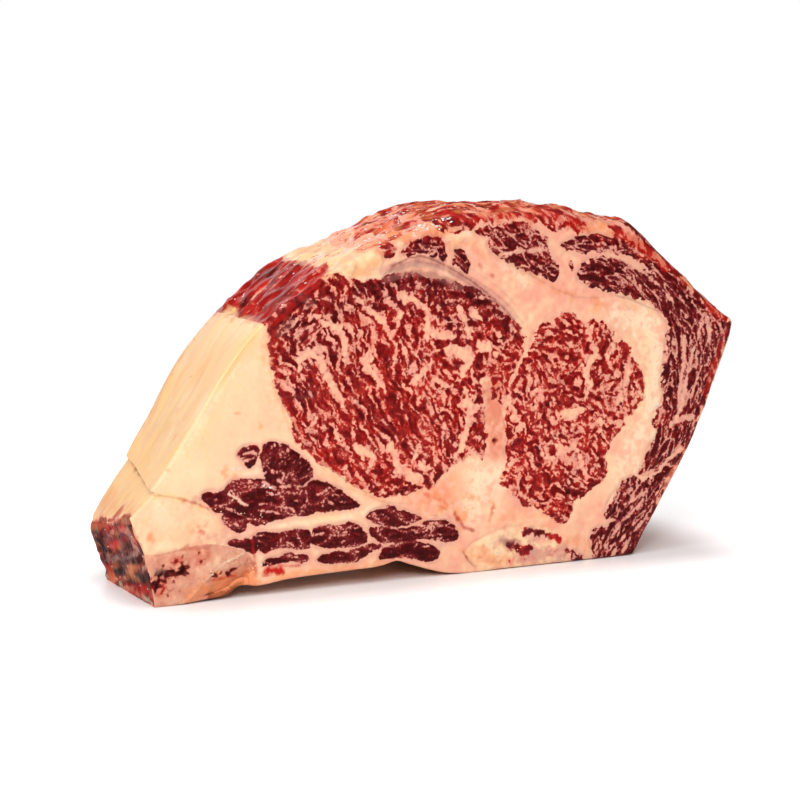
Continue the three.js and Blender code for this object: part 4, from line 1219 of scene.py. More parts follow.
class CutFace:
    """All that is painted on one of the two cuts.

    A pattern is given by its parts, each a size and an amount.
    """

    pitch = 0.25
    mark_edge = ((0.9, 0.55), (0.4, 0.4))
    fat_level = 1.2
    fat_change = ((2.8, 0.12), (0.7, 0.05))
    mottle = ((2.6, 0.16), (0.8, 0.14))
    warm_change = 1.4
    stain_soft, stain_wobble, stain_edge, stain = 0.7, 0.05, (0.25, 0.5), 0.5
    lean_pink = 0.45
    darkness = 0.8
    wet, wet_change, wet_size = 0.3, 0.25, 4.0
    rim_soft, rim_wet = 1.3, 0.1
    fat_from = (-0.05, 0.35)
    fray = ((0.8, 0.42), (0.35, 0.25))
    bone_fray = 0.3
    blur = 0.25
    part_margin = 3.0
    outline_edge = (0.6, 1.4)
    bare_depth = 0.9
    veil_soft, veil_edge = 1.3, (0.01, 0.2)

    def __init__(self, tissues: Sequence["Tissue"], share: float, seed: int) -> None:
        """Paints the cut.

        Args:
            tissues: the roast's tissues with their outlines.
            share: 0 for the front cut, 1 for the back cut.
            seed: added to the patterns' seeds.
        """
        self.raster = raster = Raster(*FACE_BOX, self.pitch)
        self.layers = {tint.value: np.zeros(raster.shape) for tint in Tint}
        self.layers["marbling"] = self.fat_level + raster.mixed(seed + 3, self.fat_change)
        wobble = raster.mixed(seed + 1, self.mark_edge)
        mottle = raster.mixed(seed + 5, self.mottle)
        lean, bone = self.fill(tissues, share, seed)
        near = raster.softened(lean, self.stain_soft) + self.stain_wobble * wobble
        warm = np.clip(spread(FAT_WARMTH, raster), 0.0, 1.0)
        warm = np.clip(warm * (1.0 + self.warm_change * mottle), 0.0, 1.0)
        warm = np.maximum(warm, ease(*self.stain_edge, near) * self.stain)
        plain_fat = np.clip(1.0 - lean - bone, 0.0, 1.0)
        self.layers["pink"] = np.maximum(warm * plain_fat, self.lean_pink * lean)
        dark = (spread(LEAN_DARKNESS, raster) + mottle) * self.darkness
        self.layers["dark"] = np.clip((dark + self.layers["dark"]) * lean, 0.0, 1.0)
        rim = ease(0.0, 0.5, 1.0 - raster.softened(lean, self.rim_soft))
        wet = self.wet + self.wet_change * raster.noise(seed + 7, self.wet_size) + self.rim_wet * rim
        self.layers["wet"] = np.clip(wet, 0.0, 1.0)
        for tint, marks in FRONT_MARKS.items():
            for mark in marks:
                mark.lay(self.layers[tint.value], raster, wobble)
        fatness = ease(*self.fat_from, self.layers["marbling"])
        for tint in (Tint.ORANGE, Tint.YELLOW, Tint.PALE_AND_HIGHLIGHT, Tint.GREY):
            self.layers[tint.value] *= fatness

    def fill(self, tissues: Sequence["Tissue"], share: float, seed: int) -> tuple[Array, Array]:
        """Writes each tissue's own pattern inside its slightly frayed outline.

        Args:
            tissues: the roast's tissues.
            share: 0 for the front cut, 1 for the back cut.
            seed: added to the patterns' seeds.

        Returns:
            The share of muscle and the share of bone over the raster.
        """
        raster, layers = self.raster, self.layers
        lean, bone = np.zeros(raster.shape), np.zeros(raster.shape)
        fray = [raster.mixed(seed + k, self.fray) for k in (60, 62)]
        looks = {id(tissue.look): tissue.look for tissue in tissues}
        for look in looks.values():
            muscle = isinstance(look, Marbling)
            grow, frayed = (look.grow, look.fray) if muscle else (0.0, self.bone_fray)
            loops = [tissue.carry.moved(tissue.loop, share) for tissue in tissues if tissue.look is look]
            every = np.concatenate(loops + [np.array(mark.path) for mark in look.spill])
            part, cells = raster.window(every.min(0) - self.part_margin, every.max(0) + self.part_margin)
            u, v = part.grid()
            within = part.filled(loops)
            blur = self.blur + grow if muscle else look.blend
            level = NormalDist().cdf(-grow / blur)
            mask = part.read(
                part.softened(within, blur), u + fray[0][cells] * frayed, v + fray[1][cells] * frayed)
            mask = np.maximum(mask, laid(look.spill, part, fray[0][cells]))
            own = ease(*(level * edge for edge in self.outline_edge), mask)
            amount = replace(look, seed=look.seed + seed).field(part)
            if muscle:
                for mark in look.bare:
                    amount -= self.bare_depth * laid((mark,), part, fray[0][cells])
            layers["marbling"][cells] += (amount - layers["marbling"][cells]) * own
            if muscle:
                lean[cells] = np.maximum(lean[cells], own)
                layers["dark"][cells] += (look.aged - layers["dark"][cells]) * own
                veil = ease(*self.veil_edge, part.softened(within, self.veil_soft))
                veil *= look.membrane
                layers["grey"][cells] = np.maximum(layers["grey"][cells], veil)
            else:
                bone[cells] = np.maximum(bone[cells], own)
        return lean, bone


@dataclass(frozen=True)
class SkinLook:
    """What a part of the outer skin looks like.

    The part runs over a share of one stretch of the outline; fat and lean are the levels of the
    marbling on the two kinds of pieces, and the streaks swing it up and down.
    """

    stretch: str
    part: tuple[float, float]
    fat: float
    lean: float
    streak: tuple[float, float, float]
    swing: float
    tints: tuple[tuple[Tint, float, float], ...]
    patch: tuple[float, float, float] = (2.0, 3.0, 0.0)


WET_CROWN = ((Tint.PINK, 0.5, 0.3), (Tint.BLOOD, 0.05, 0.26), (Tint.WET, 0.8, 0.2), (Tint.ORANGE, 0.2, 0.3),
             (Tint.DARK, 0.05, 0.3))

# Stretch, its part, levels of fat and lean, streaks (across, along, angle), swing, and the tints.
SKIN_LOOKS = (
    SkinLook("foot", (0, 1), 1.0, 0.4, (1.2, 4, 0), 0.25, ((Tint.ORANGE, 0.3, 0.2), (Tint.PINK, 0.4, 0.2))),
    SkinLook("arch", (0, 1), 1.0, -0.2, (1.2, 4, 0), 0.3, ((Tint.ORANGE, 0.5, 0.2), (Tint.PINK, 0.4, 0.2))),
    SkinLook("long_foot", (0, 1), 1.0, 0.1, (1.2, 4, 0), 0.35,
             ((Tint.PINK, 0.5, 0.2), (Tint.GREY, 0.1, 0.2))),
    SkinLook("right_side", (0, 1), 0.1, 0.0, (0.5, 3, 12), 0.42,
             ((Tint.PINK, 0.75, 0.2), (Tint.DARK, 0.2, 0.3), (Tint.ORANGE, 0.3, 0.25))),
    SkinLook("slope", (0, 1), 0.05, 0.02, (0.42, 3.2, 3), 0.42,
             ((Tint.PINK, 0.5, 0.3), (Tint.BLOOD, 0.15, 0.25), (Tint.WET, 0.5, 0.2),
              (Tint.ORANGE, 0.2, 0.3))),
    SkinLook("crown", (0, 0.42), 0.1, -0.06, (0.5, 2.4, 6), 0.45, WET_CROWN, (1.0, 2.0, 10)),
    SkinLook("crown", (0.42, 1), 0.05, -0.08, (0.42, 1.9, 12), 0.45, WET_CROWN, (1.0, 2.0, 10)),
    SkinLook("crown_end", (0, 0.55), 0.06, 0.0, (0.42, 1.9, 14), 0.45, WET_CROWN, (1.0, 2.0, 10)),
    SkinLook("crown_end", (0.55, 1), 0.6, 0.4, (0.6, 4, 8), 0.4,
             ((Tint.PINK, 0.4, 0.3), (Tint.WET, 0.5, 0.2), (Tint.ORANGE, 0.1, 0.2))),
    SkinLook("bare_slope", (0, 0.3), 0.9, 0.8, (0.9, 5, 4), 0.3,
             ((Tint.PINK, 0.3, 0.3), (Tint.WET, 0.4, 0.2), (Tint.YELLOW, 0.2, 0.2))),
    SkinLook("bare_slope", (0.3, 1), -0.3, -0.42, (1.0, 2.4, -20), 0.32,
             ((Tint.BLOOD, 0.2, 0.3), (Tint.PINK, 0.6, 0.2), (Tint.WET, 0.2, 0.2), (Tint.DARK, 0.2, 0.35)),
             (1.8, 4, -20)),
    SkinLook("cap_side", (0, 1), 1.3, -0.3, (1.5, 8, 0), 0.06,
             ((Tint.YELLOW, 0.42, 0.26), (Tint.ORANGE, -0.06, 0.13), (Tint.PALE_AND_HIGHLIGHT, 0.05, 0.24),
              (Tint.DARK, 0.22, 0.11)), (1.6, 7, 2)),
    SkinLook("sawn_end", (0, 1), -0.22, -0.3, (0.9, 2.6, 80), 0.45,
             ((Tint.ORANGE, -0.1, 0.3), (Tint.DARK, 0.75, 0.4), (Tint.BLOOD, -0.05, 0.3)), (1.6, 4.0, 80)),
)


@dataclass(frozen=True)
class SkinMark:
    """A mark on the outer skin, through places given as a share of a stretch and a depth."""

    stretch: str
    tint: Tint
    amount: float
    width: float
    soft: float
    path: Path

    def on(self, outline: Outline) -> Stroke:
        """The mark in the skin's own measures."""
        low, high = outline.span(self.stretch)
        path = tuple((low + share * (high - low), y) for share, y in self.path)
        return Stroke(self.amount, self.width, self.soft, path)


SKIN_MARKS = tuple(SkinMark(stretch, *row) for stretch, rows in {
    "cap_side": (
        (Tint.DARK, 0.55, 30, 12, ((0.72, 4), (0.96, 2))),
        (Tint.DARK, 0.75, 7, 4, ((0.0, 27), (0.4, 28), (0.8, 28))),
        (Tint.ORANGE, 0.35, 2.5, 2, ((0.0, 27.6), (0.4, 28), (0.8, 28))),
        (Tint.ORANGE, 0.5, 1.6, 1.4, ((0.03, -26), (0.025, 0), (0.03, 26))),
        (Tint.BLOOD, 0.35, 1.2, 1.4, ((0.015, -26), (0.01, 0), (0.012, 26))),
        (Tint.ORANGE, 0.55, 1.0, 0.8, ((0.35, 2), (0.365, 4))),
        (Tint.ORANGE, 0.5, 0.8, 0.7, ((0.16, -15), (0.165, -14))),
        (Tint.ORANGE, 0.45, 0.9, 0.8, ((0.6, -18), (0.62, -17))),
        (Tint.DARK, 0.6, 0.8, 0.8, ((0.1, 16), (0.4, 15), (0.75, 12))),
        (Tint.DARK, 0.5, 0.7, 0.7, ((0.15, 4), (0.45, 7), (0.7, 6))),
        # Painted shadow line under the torn edge where the upper fat layer overhangs the lower one.
        (Tint.SEAM, 0.6, 0.9, 0.6, ((0.86, -28), (0.865, -10), (0.87, 10), (0.86, 28))),
        (Tint.YELLOW, 0.7, 5, 3, ((0.92, -24), (0.92, 24))),
        (Tint.ORANGE, 0.4, 2.5, 2, ((0.985, -26), (0.985, 26)))),
    "sawn_end": (
        (Tint.ORANGE, 0.3, 3, 2, ((0.03, -26), (0.03, 26))),
        (Tint.BLOOD, 0.5, 2.4, 1.6, ((0.1, -22), (0.14, 0), (0.1, 22))),
        (Tint.DARK, 1.0, 9, 3, ((0.55, -14), (0.6, 8), (0.55, 20))),
        (Tint.PALE_AND_HIGHLIGHT, 0.5, 1.4, 1.0, ((0.97, -26), (0.97, 26)))),
    "bare_slope": (
        (Tint.BLOOD, 0.7, 3.5, 2, ((0.35, -24), (0.6, -25), (0.8, -25))),
        (Tint.PALE_AND_HIGHLIGHT, 0.55, 2.2, 1.6, ((0.3, -22), (0.31, -5), (0.28, 18)))),
}.items() for row in rows)


class SkinFace:
    """All that is painted on the outer skin, over the way along the outline and the depth."""

    pitch = 0.3
    margin = 10.0
    edge = 1.5
    edge_wander = ((1.6, 0.7), (0.6, 0.4))
    edge_sway, edge_sway_size = 1.6, 4.0
    mark_edge = ((1.2, 0.6), (0.45, 0.4))
    bend, bend_sizes = 1.6, (8.0, 2.6)
    streak, speck, speck_size = 0.75, 0.4, 0.5
    fat_level, lean_level = 1.0, -0.2

    def __init__(self, outline: Outline, seed: int) -> None:
        """Paints the skin of every stretch."""
        half = outline.half + self.margin
        self.raster = raster = Raster((-self.margin, -half), (outline.length + self.margin, half), self.pitch)
        along, depth = raster.grid()
        broad, small = (raster.noise(seed + k, size) for k, size in zip((4, 6), self.bend_sizes))
        sideways = depth + self.bend * (broad + 0.5 * small)

        def bent(number: int, streak: tuple[float, float, float]) -> Array:
            """Streaks that wander a little to the side."""
            return raster.read(raster.streaks(number, *streak, 0.0), along, sideways)

        place = along + raster.mixed(seed, self.edge_wander)
        place += self.edge_sway * raster.noise(seed + 5, self.edge_sway_size)
        self.layers = {tint.value: np.zeros(raster.shape) for tint in Tint}
        self.layers["fat"] = np.full(raster.shape, self.fat_level)
        self.layers["lean"] = np.full(raster.shape, self.lean_level)
        for number, look in enumerate(SKIN_LOOKS, start=1):
            low, high = outline.span(look.stretch)
            low, high = (low + part * (high - low) for part in look.part)
            weight = ease(low - self.edge, low + self.edge, place) * (
                1 - ease(high - self.edge, high + self.edge, place))
            own = seed + 20 * number
            streak = bent(own, look.streak) * self.streak
            streak += raster.noise(own + 1, self.speck_size) * self.speck
            for name, level in (("fat", look.fat), ("lean", look.lean)):
                self.layers[name] += (level + look.swing * streak - self.layers[name]) * weight
            for extra, (tint, level, swing) in enumerate(look.tints):
                patch = np.clip(level + swing * bent(own + 2 + extra, look.patch), 0.0, 1.0)
                self.layers[tint.value] += (patch - self.layers[tint.value]) * weight
        wobble = raster.mixed(seed + 2, self.mark_edge)
        for mark in SKIN_MARKS:
            mark.on(outline).lay(self.layers[mark.tint.value], raster, wobble)


# ------------------------------------------------------------------------------- finishes

def add_node(tree: bpy.types.NodeTree, kind: str, links: dict | Sequence, output: int | str = 0,
             **settings: object) -> Socket | None:
    """Adds one node with its settings and its inputs.

    Args:
        tree: the node tree that takes it.
        kind: the node's type name.
        links: a socket to link or a plain value for each input, by name or in order.
        output: the result that is wanted, by name or number.
        settings: properties of the node by name.

    Returns:
        The wanted result, or nothing where the node has none.
    """
    node = tree.nodes.new(kind)
    for name, value in settings.items():
        setattr(node, name, value)
    for name, value in links.items() if isinstance(links, dict) else enumerate(links):
        if isinstance(value, Socket):
            tree.links.new(value, node.inputs[name])
        else:
            node.inputs[name].default_value = value
    return node.outputs[output] if len(node.outputs) else None


def new_material(name: str) -> bpy.types.Material:
    """A material with an empty node tree."""
    material = bpy.data.materials.new(name)
    material.use_nodes = True
    material.node_tree.nodes.clear()
    return material


FRESH = (
    (-1.0, "#6B0A09"), (-0.5, "#8E1512"), (-0.16, "#B02A22"), (0.0, "#C74A3D"), (0.15, "#D97562"),
    (0.4, "#EBA189"), (0.9, "#F2C59B"), (1.6, "#F4D1A8"))
AGED = (
    (-1.0, "#3C0708"), (-0.5, "#570E11"), (-0.16, "#752224"), (0.0, "#91403D"), (0.15, "#B5716A"),
    (0.4, "#CF9A8A"), (0.9, "#E6B48F"), (1.6, "#E2AE78"))


@dataclass(frozen=True)
class TissueFinish:
    """Moist raw meat, fat or bone: soft, slightly translucent, with a thin wet film on it.

    The shades run from the deepest lean over the boundary at 0 to the purest fat; each has the
    marbling at which it is reached.  Where the tissue has aged or dried it takes the aged ones.
    """

    name: str
    shades: Shades = FRESH
    aged: Shades = AGED
    pink: str = "#EDA38A"
    roughness: float = 0.42
    wet_roughness: float = 0.28
    specular: float = 0.10
    translucent: float = 0.05
    bump: float = 0.3
    ragged: float = 0.13
    fine_size: float = 0.42
    fine_range: tuple[float, float] = (0.25, 0.75)
    patch_size: float = 2.6
    patch_range: tuple[float, float, float, float] = (0.42, 0.78, -0.1, 0.4)
    film_size: float = 1.6
    film_range: tuple[float, float, float, float] = (0.4, 0.65, -0.1, 0.3)
    boundary: tuple[float, float] = (-0.08, 0.12)
    bump_depth: float = 0.25
    fat_height: float = 0.5
    refraction: float = 1.42
    glow: tuple[float, float, float] = (1.0, 0.35, 0.25)
    glow_depth: float = 1.2

    def toned(self, add: Callable[..., Socket], marbling: Socket, shades: Shades) -> Socket:
        """The colour that a row of shades gives for the marbling."""
        low, high = shades[0][0], shades[-1][0]
        level = add("ShaderNodeMapRange", (marbling, low, high))
        colour = add("ShaderNodeValToRGB", {"Fac": level}, "Color")
        stops = colour.node.color_ramp.elements
        for number, (mark, shade) in enumerate(shades):
            stop = stops[number] if number < 2 else stops.new(1.0)
            stop.position = (mark - low) / (high - low)
            stop.color = linear_colour(shade)
        return colour

    def material(self) -> bpy.types.Material:
        """Builds the node tree of this finish."""
        material = new_material(self.name)
        add = partial(add_node, material.node_tree)
        smooth = {"interpolation_type": "SMOOTHSTEP"}
        place = add("ShaderNodeTexCoord", {}, "Object")
        fine, patches, film = (
            add("ShaderNodeTexNoise", {"Vector": place, "Scale": 1 / (size * MM), "Detail": detail}, "Fac")
            for size, detail in ((self.fine_size, 3.0), (self.patch_size, 3.0), (self.film_size, 2.0)))
        painted = {
            name: add("ShaderNodeAttribute", {}, "Fac", attribute_name=name)
            for name in ("marbling", "dark", "pink", "wet", *(tint.value for tint, _ in TINT_SHADES))}
        fray = add("ShaderNodeMapRange", (fine, *self.fine_range, -self.ragged, self.ragged), **smooth)
        marbling = add("ShaderNodeMath", (painted["marbling"], fray), operation="ADD")
        is_fat = add("ShaderNodeMapRange", (marbling, *self.boundary), **smooth)
        is_lean = add("ShaderNodeMath", (1.0, is_fat), operation="SUBTRACT")
        patches = add("ShaderNodeMapRange", (patches, *self.patch_range), **smooth)
        patches = add("ShaderNodeMath", (patches, is_lean), operation="MULTIPLY")
        aged = add("ShaderNodeMath", (painted["dark"], patches), operation="ADD")
        fresh_tone, aged_tone = (self.toned(add, marbling, shades) for shades in (self.shades, self.aged))
        colour = add("ShaderNodeMix", {0: aged, 6: fresh_tone, 7: aged_tone}, 2, data_type="RGBA")
        pink = add("ShaderNodeMath", (painted["pink"], is_fat), operation="MULTIPLY")
        tints = [(pink, self.pink)] + [(painted[tint.value], tone) for tint, tone in TINT_SHADES]
        for share, tone in tints:
            colour = add("ShaderNodeMix", {0: share, 6: colour, 7: linear_colour(tone)}, 2, data_type="RGBA")
        film = add("ShaderNodeMapRange", (film, *self.film_range), **smooth)
        wet = add("ShaderNodeMath", (painted["wet"], film), operation="ADD")
        gloss = add("ShaderNodeMapRange", (wet, 0.0, 1.0, self.roughness, self.wet_roughness), **smooth)
        height = add("ShaderNodeMath", (is_fat, self.fat_height), operation="MULTIPLY")
        height = add("ShaderNodeMath", (fine, height), operation="ADD")
        bump = add("ShaderNodeBump", {
            "Strength": self.bump, "Distance": self.bump_depth * MM, "Height": height})
        surface = add("ShaderNodeBsdfPrincipled", {
            "Base Color": colour, "Roughness": gloss, "Normal": bump, "IOR": self.refraction,
            "Specular IOR Level": self.specular, "Subsurface Weight": self.translucent,
            "Subsurface Radius": self.glow, "Subsurface Scale": self.glow_depth * MM,
        }, subsurface_method="RANDOM_WALK")
        add("ShaderNodeOutputMaterial", {"Surface": surface})
        return material


# Besides their own tissue colours, the pale shade serves for painted highlights and glints, the grey and veil
# shades for painted sheen and shadow, and the seam shade for a painted shadow line.
TINT_SHADES = (
    (Tint.PALE_AND_HIGHLIGHT, "#F8DAB8"), (Tint.YELLOW, "#F6C68A"), (Tint.ORANGE, "#E98A56"), (Tint.GREY, "#D29586"),
    (Tint.VEIL_SHEEN_AND_SHADE, "#8C5450"), (Tint.BLOOD, "#BE1C15"), (Tint.SEAM, "#84382F"))

FINISHES = {
    "fat": TissueFinish("beef_fat", roughness=0.40, specular=0.16, translucent=0.10, bump=0.12, ragged=0.07),
    "fresh_lean": TissueFinish("fresh_lean"),
    "cap_lean": TissueFinish("oxidised_lean"),
    "dark_lean": TissueFinish("intercostal_lean"),
    "rib": TissueFinish(
        "sawn_rib",
        ((-1.0, "#2A0606"), (-0.5, "#4E100E"), (-0.15, "#7E2C25"), (0.0, "#A75546"), (0.15, "#C27862"),
         (0.4, "#CE8C73"), (0.9, "#DA9E82"), (1.4, "#E8B696")),
        ((-1.0, "#170506"), (-0.5, "#2E0B0B"), (-0.15, "#4A1715"), (0.0, "#5E2E2B"), (0.15, "#6B4240"),
         (0.4, "#745450"), (0.9, "#8A6A63"), (1.4, "#B08F82")),
        roughness=0.5, bump=0.5, ragged=0.16),
    "spine": TissueFinish("sawn_spine", roughness=0.40, specular=0.16, translucent=0.10, ragged=0.10),
}


# ------------------------------------------------------------------------------- tissues

@dataclass(frozen=True)
class Carry:
    """How a tissue's outline shifts from the front cut to the back cut."""

    at_back: float = 2.6
    full: float = 50.0
    none: float = 110.0
    fall: float = 0.0
    fall_none: float = 20.0
    fall_full: float = 35.0
    rounds: int = 6

    def moved(self, loop: Array, share: float) -> Array:
        """The outline at a share of the thickness."""
        x, z = loop.T
        shift = self.at_back * share * (1 - ease(self.full, self.none, x))
        return np.stack([x + shift, z + self.fall * share * ease(self.fall_none, self.fall_full, z)], axis=1)

    def brought_back(self, loop: Array, share: float) -> Array:
        """The front outline of which this is the one at a share of the thickness."""
        front = loop
        for _ in range(self.rounds):
            front = loop - (self.moved(front, share) - front)
        return front


@dataclass
class Tissue:
    """One tissue of the roast, cut out of the slab along its solid's outline."""

    node: str
    slot: str
    look: Marbling | Bone
    carry: Carry = Carry()
    straight: float = 0.02
    edge_reach: float = 0.75
    past_edge: float = 9.0
    step: float = 0.8
    gap: float = 0.15
    past_cut: float = 5.0
    loop: Array = field(init=False)

    def read_outline(self, corner_x: float, slab: Slab) -> None:
        """Reads the outline of the tissue's solid halfway through the roast and carries it past the skin."""
        section = bmesh.new()
        section.from_mesh(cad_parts[self.node].data)
        bmesh.ops.bisect_plane(
            section, geom=[*section.verts, *section.edges, *section.faces], dist=1e-7, plane_co=(0, 0, 0),
            plane_no=(0, 1, 0), clear_outer=True, clear_inner=True)
        joined: dict[tuple[float, float], set] = {}
        for edge in section.edges:
            a, b = ((round(v.co.x / MM, 2), round(v.co.z / MM, 2)) for v in edge.verts)
            if a != b:
                joined.setdefault(a, set()).add(b)
                joined.setdefault(b, set()).add(a)
        section.free()
        loops = []
        while joined:
            chain = [min(joined)]
            while chain:
                onward = sorted(p for p in joined.pop(chain[-1]) if p in joined)
                if not onward:
                    break
                chain.append(onward[0])
            loops.append(np.array(chain) - np.array([corner_x, 0.0]))
        loop = max(loops, key=lambda points: float(np.ptp(points, axis=0).prod()))
        onward = np.roll(loop, -1, axis=0) - loop
        before = np.roll(onward, 1, axis=0)
        turn = (before[:, 0] * onward[:, 1] - before[:, 1] * onward[:, 0]) / np.maximum(
            np.linalg.norm(before, axis=1) * np.linalg.norm(onward, axis=1), 1e-9)
        if np.sum(loop[:, 0] * onward[:, 1] - loop[:, 1] * onward[:, 0]) < 0:
            loop, turn = loop[::-1], turn[::-1]
        self.loop = self.carry.brought_back(self.past_skin(loop[np.abs(turn) > self.straight], slab), 0.5)

    def past_skin(self, loop: Array, slab: Slab) -> Array:
        """Rounds the outline and pushes what lies on the roast's own edge out past the skin."""
        ring = slab.outline.ring(0.0)
        normals = outward(ring)
        distance = np.linalg.norm(loop[:, None, :] - ring[None, :, :], axis=2)
        nearest, outer = distance.argmin(axis=1), distance.min(axis=1) < self.edge_reach
        count, stops, sharp = len(loop), [], []
        for i in range(count):
            if not outer[i]:
                stops.append(loop[i])
                continue
            pushed = loop[i] + normals[nearest[i]] * self.past_edge
            first, last = not outer[i - 1], not outer[(i + 1) % count]
            if first:
                stops.append(loop[i])
            sharp.append(len(stops))
            stops.append(pushed)
            if last:
                stops.append(loop[i])
        fine, _ = smooth_curve(np.array(stops), sharp, self.step)
        return fine + outward(fine) * self.gap

    def prism(self, slab: Slab) -> tuple[Array, list[list[int]]]:
        """The tissue's outline run through the roast, past both cuts."""
        half, count = slab.thickness / 2, len(self.loop)
        ends = (-half - self.past_cut, half + self.past_cut)
        rings = [self.carry.moved(self.loop, (y + half) / slab.thickness) for y in ends]
        points = np.concatenate([
            np.stack([ring[:, 0], np.full(count, y), ring[:, 1]], axis=1) for ring, y in zip(rings, ends)])
        sides = [[i, i + count, (i + 1) % count + count, (i + 1) % count] for i in range(count)]
        return points, [*sides, list(range(count)), list(range(2 * count - 1, count - 1, -1))]


TISSUES = tuple(Tissue(node, slot, look, carry) for look, carry, nodes in (
    (EYE_MARBLING, Carry(), {"eye_muscle": "fresh_lean"}),
    (INNER_MARBLING, Carry(), {"inner_muscle": "fresh_lean"}),
    (CAP_MARBLING, Carry(), {"cap_muscle_upper": "cap_lean", "cap_muscle_lower": "cap_lean"}),
    (TORN_MARBLING, Carry(), {"top_muscle_outer": "fresh_lean"}),
    (CROWN_MARBLING, Carry(), {
        "top_muscle_middle": "cap_lean", "top_muscle_small": "fresh_lean", "top_muscle_left": "cap_lean",
        "top_muscle_tip": "fresh_lean"}),
    (RIB_MARBLING, Carry(), {
        **{f"rib_muscle_{name}": "dark_lean" for name in ("main", "upper", "island", "oval", "end")},
        **{f"rib_strip_{letter}": "dark_lean" for letter in "abcdefg"}}),
    (CAP_MARBLING, Carry(), {"foot_muscle": "cap_lean"}),
    (RIB_BONE, Carry(fall=-9.0), {"rib_bone": "rib"}),
    (SPINE_BONE, Carry(), {"backbone_tip": "spine"}),
) for node, slot in nodes.items())


def mesh_of(name: str, points: Array, faces: Sequence[Sequence[int]], corner_x: float) -> bpy.types.Object:
    """Makes an object of a mesh given in the roast's millimetres.

    Args:
        name: the object's name.
        points: rows of x, y and z.
        faces: the corners of each face, or an array of them.
        corner_x: where x = 0 lies in the frame.

    Returns:
        The object, linked to the scene.
    """
    mesh = bpy.data.meshes.new(name)
    placed = (points + np.array([corner_x, 0.0, 0.0])) * MM
    mesh.from_pydata(placed.tolist(), [], faces.tolist() if isinstance(faces, np.ndarray) else list(faces))
    mesh.update()
    return put(name, mesh)


def cut(slab: bpy.types.Object, tool: bpy.types.Object, operation: str, name: str) -> bpy.types.Object:
    """Cuts the slab by another closed mesh and gives the result as a new object."""
    modifier = slab.modifiers.new("cut", "BOOLEAN")
    modifier.operation, modifier.object, modifier.solver = operation, tool, "MANIFOLD"
    graph = bpy.context.evaluated_depsgraph_get()
    mesh = bpy.data.meshes.new_from_object(slab.evaluated_get(graph), depsgraph=graph)
    slab.modifiers.remove(modifier)
    mesh.name = name
    return put(name, mesh)


@dataclass
class Dresser:
    """Gives each piece its painted attributes and its material."""

    corner_x: float
    slab: Slab
    locator: Locator
    cuts: tuple[CutFace, CutFace]
    skin: SkinFace
    skin_from: tuple[float, float] = (0.2, 0.8)
    sharp_angle: float = 62.0
    materials: dict[str, bpy.types.Material] = field(default_factory=dict)

    def finish(self, slot: str) -> bpy.types.Material:
        """The material of a slot, made once."""
        if slot not in self.materials:
            self.materials[slot] = FINISHES[slot].material()
        return self.materials[slot]

    def painted(self, piece: bpy.types.Object, slot: str) -> dict[str, Array]:
        """The painted values at each point of a piece.

        Args:
            piece: the mesh to dress.
            slot: its material slot; fat and lean are painted differently on the skin.

        Returns:
            One array for each attribute.
        """
        places = np.empty(len(piece.data.vertices) * 3)
        piece.data.vertices.foreach_get("co", places)
        points = places.reshape(-1, 3) / MM - np.array([self.corner_x, 0.0, 0.0])
        x, y, z = points.T
        found = self.locator.find(points)
        skinned = ease(*self.skin_from, found.skin)
        base = "fat" if slot == "fat" else "lean"
        result = {}
        for name in self.cuts[0].layers:
            front, back = (face.raster.read(face.layers[name], x, z) for face in self.cuts)
            skin = self.skin.layers[base if name == "marbling" else name]
            outer = self.skin.raster.read(skin, found.along, y)
            result[name] = np.where(y < 0, front, back) * (1 - skinned) + outer * skinned
        return result

    def dress(self, piece: bpy.types.Object, slot: str, node: str) -> None:
        """Stores the painted attributes, smooths the shading, gives the material, hangs the piece under the
        body and hides the solid that it stands for.
        """
        mesh = piece.data
        for name, values in self.painted(piece, slot).items():
            layer = mesh.attributes.new(name, "FLOAT", "POINT")
            layer.data.foreach_set("value", values.astype(np.float32))
        mesh.shade_smooth()
        mesh.set_sharp_from_angle(angle=math.radians(self.sharp_angle))
        mesh.materials.clear()
        mesh.materials.append(self.finish(slot))
        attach(piece, BODY)
        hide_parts(node)
        LOG.info("%s: %d triangles", piece.name, len(mesh.polygons))


@dataclass(frozen=True)
class BitFinish:
    """Looks of the small bits: two shades that change from place to place, and how glassy they are."""

    name: str
    deep: str
    light: str
    roughness: float
    clear: float
    specular: float = 0.5
    coat: float = 0.0
    patch_size: float = 2.2
    patch_range: tuple[float, float] = (0.35, 0.65)
    fine_size: float = 0.3
    uneven: float = 0.4
    bump: float = 0.2
    bump_depth: float = 0.1
    refraction: float = 1.4
    coat_roughness: float = 0.05

    def material(self) -> bpy.types.Material:
        """Builds the node tree of this finish."""
        material = new_material(self.name)
        add = partial(add_node, material.node_tree)
        place = add("ShaderNodeTexCoord", {}, "Object")
        fine, patches = (
            add("ShaderNodeTexNoise", {"Vector": place, "Scale": 1 / (size * MM), "Detail": detail}, "Fac")
            for size, detail in ((self.fine_size, 2.0), (self.patch_size, 3.0)))
        patches = add("ShaderNodeMapRange", (patches, *self.patch_range), interpolation_type="SMOOTHSTEP")
        deep, light = linear_colour(self.deep), linear_colour(self.light)
        colour = add("ShaderNodeMix", {0: patches, 6: deep, 7: light}, 2, data_type="RGBA")
        smooth, rough = (self.roughness * (1 + side * self.uneven) for side in (-1, 1))
        gloss = add("ShaderNodeMapRange", (fine, 0.0, 1.0, smooth, rough))
        bump = add("ShaderNodeBump", {
            "Strength": self.bump, "Distance": self.bump_depth * MM, "Height": fine})
        surface = add("ShaderNodeBsdfPrincipled", {
            "Base Color": colour, "Roughness": gloss, "Normal": bump, "IOR": self.refraction,
            "Specular IOR Level": self.specular, "Transmission Weight": self.clear,
            "Coat Weight": self.coat, "Coat Roughness": self.coat_roughness})
        add("ShaderNodeOutputMaterial", {"Surface": surface})
        return material


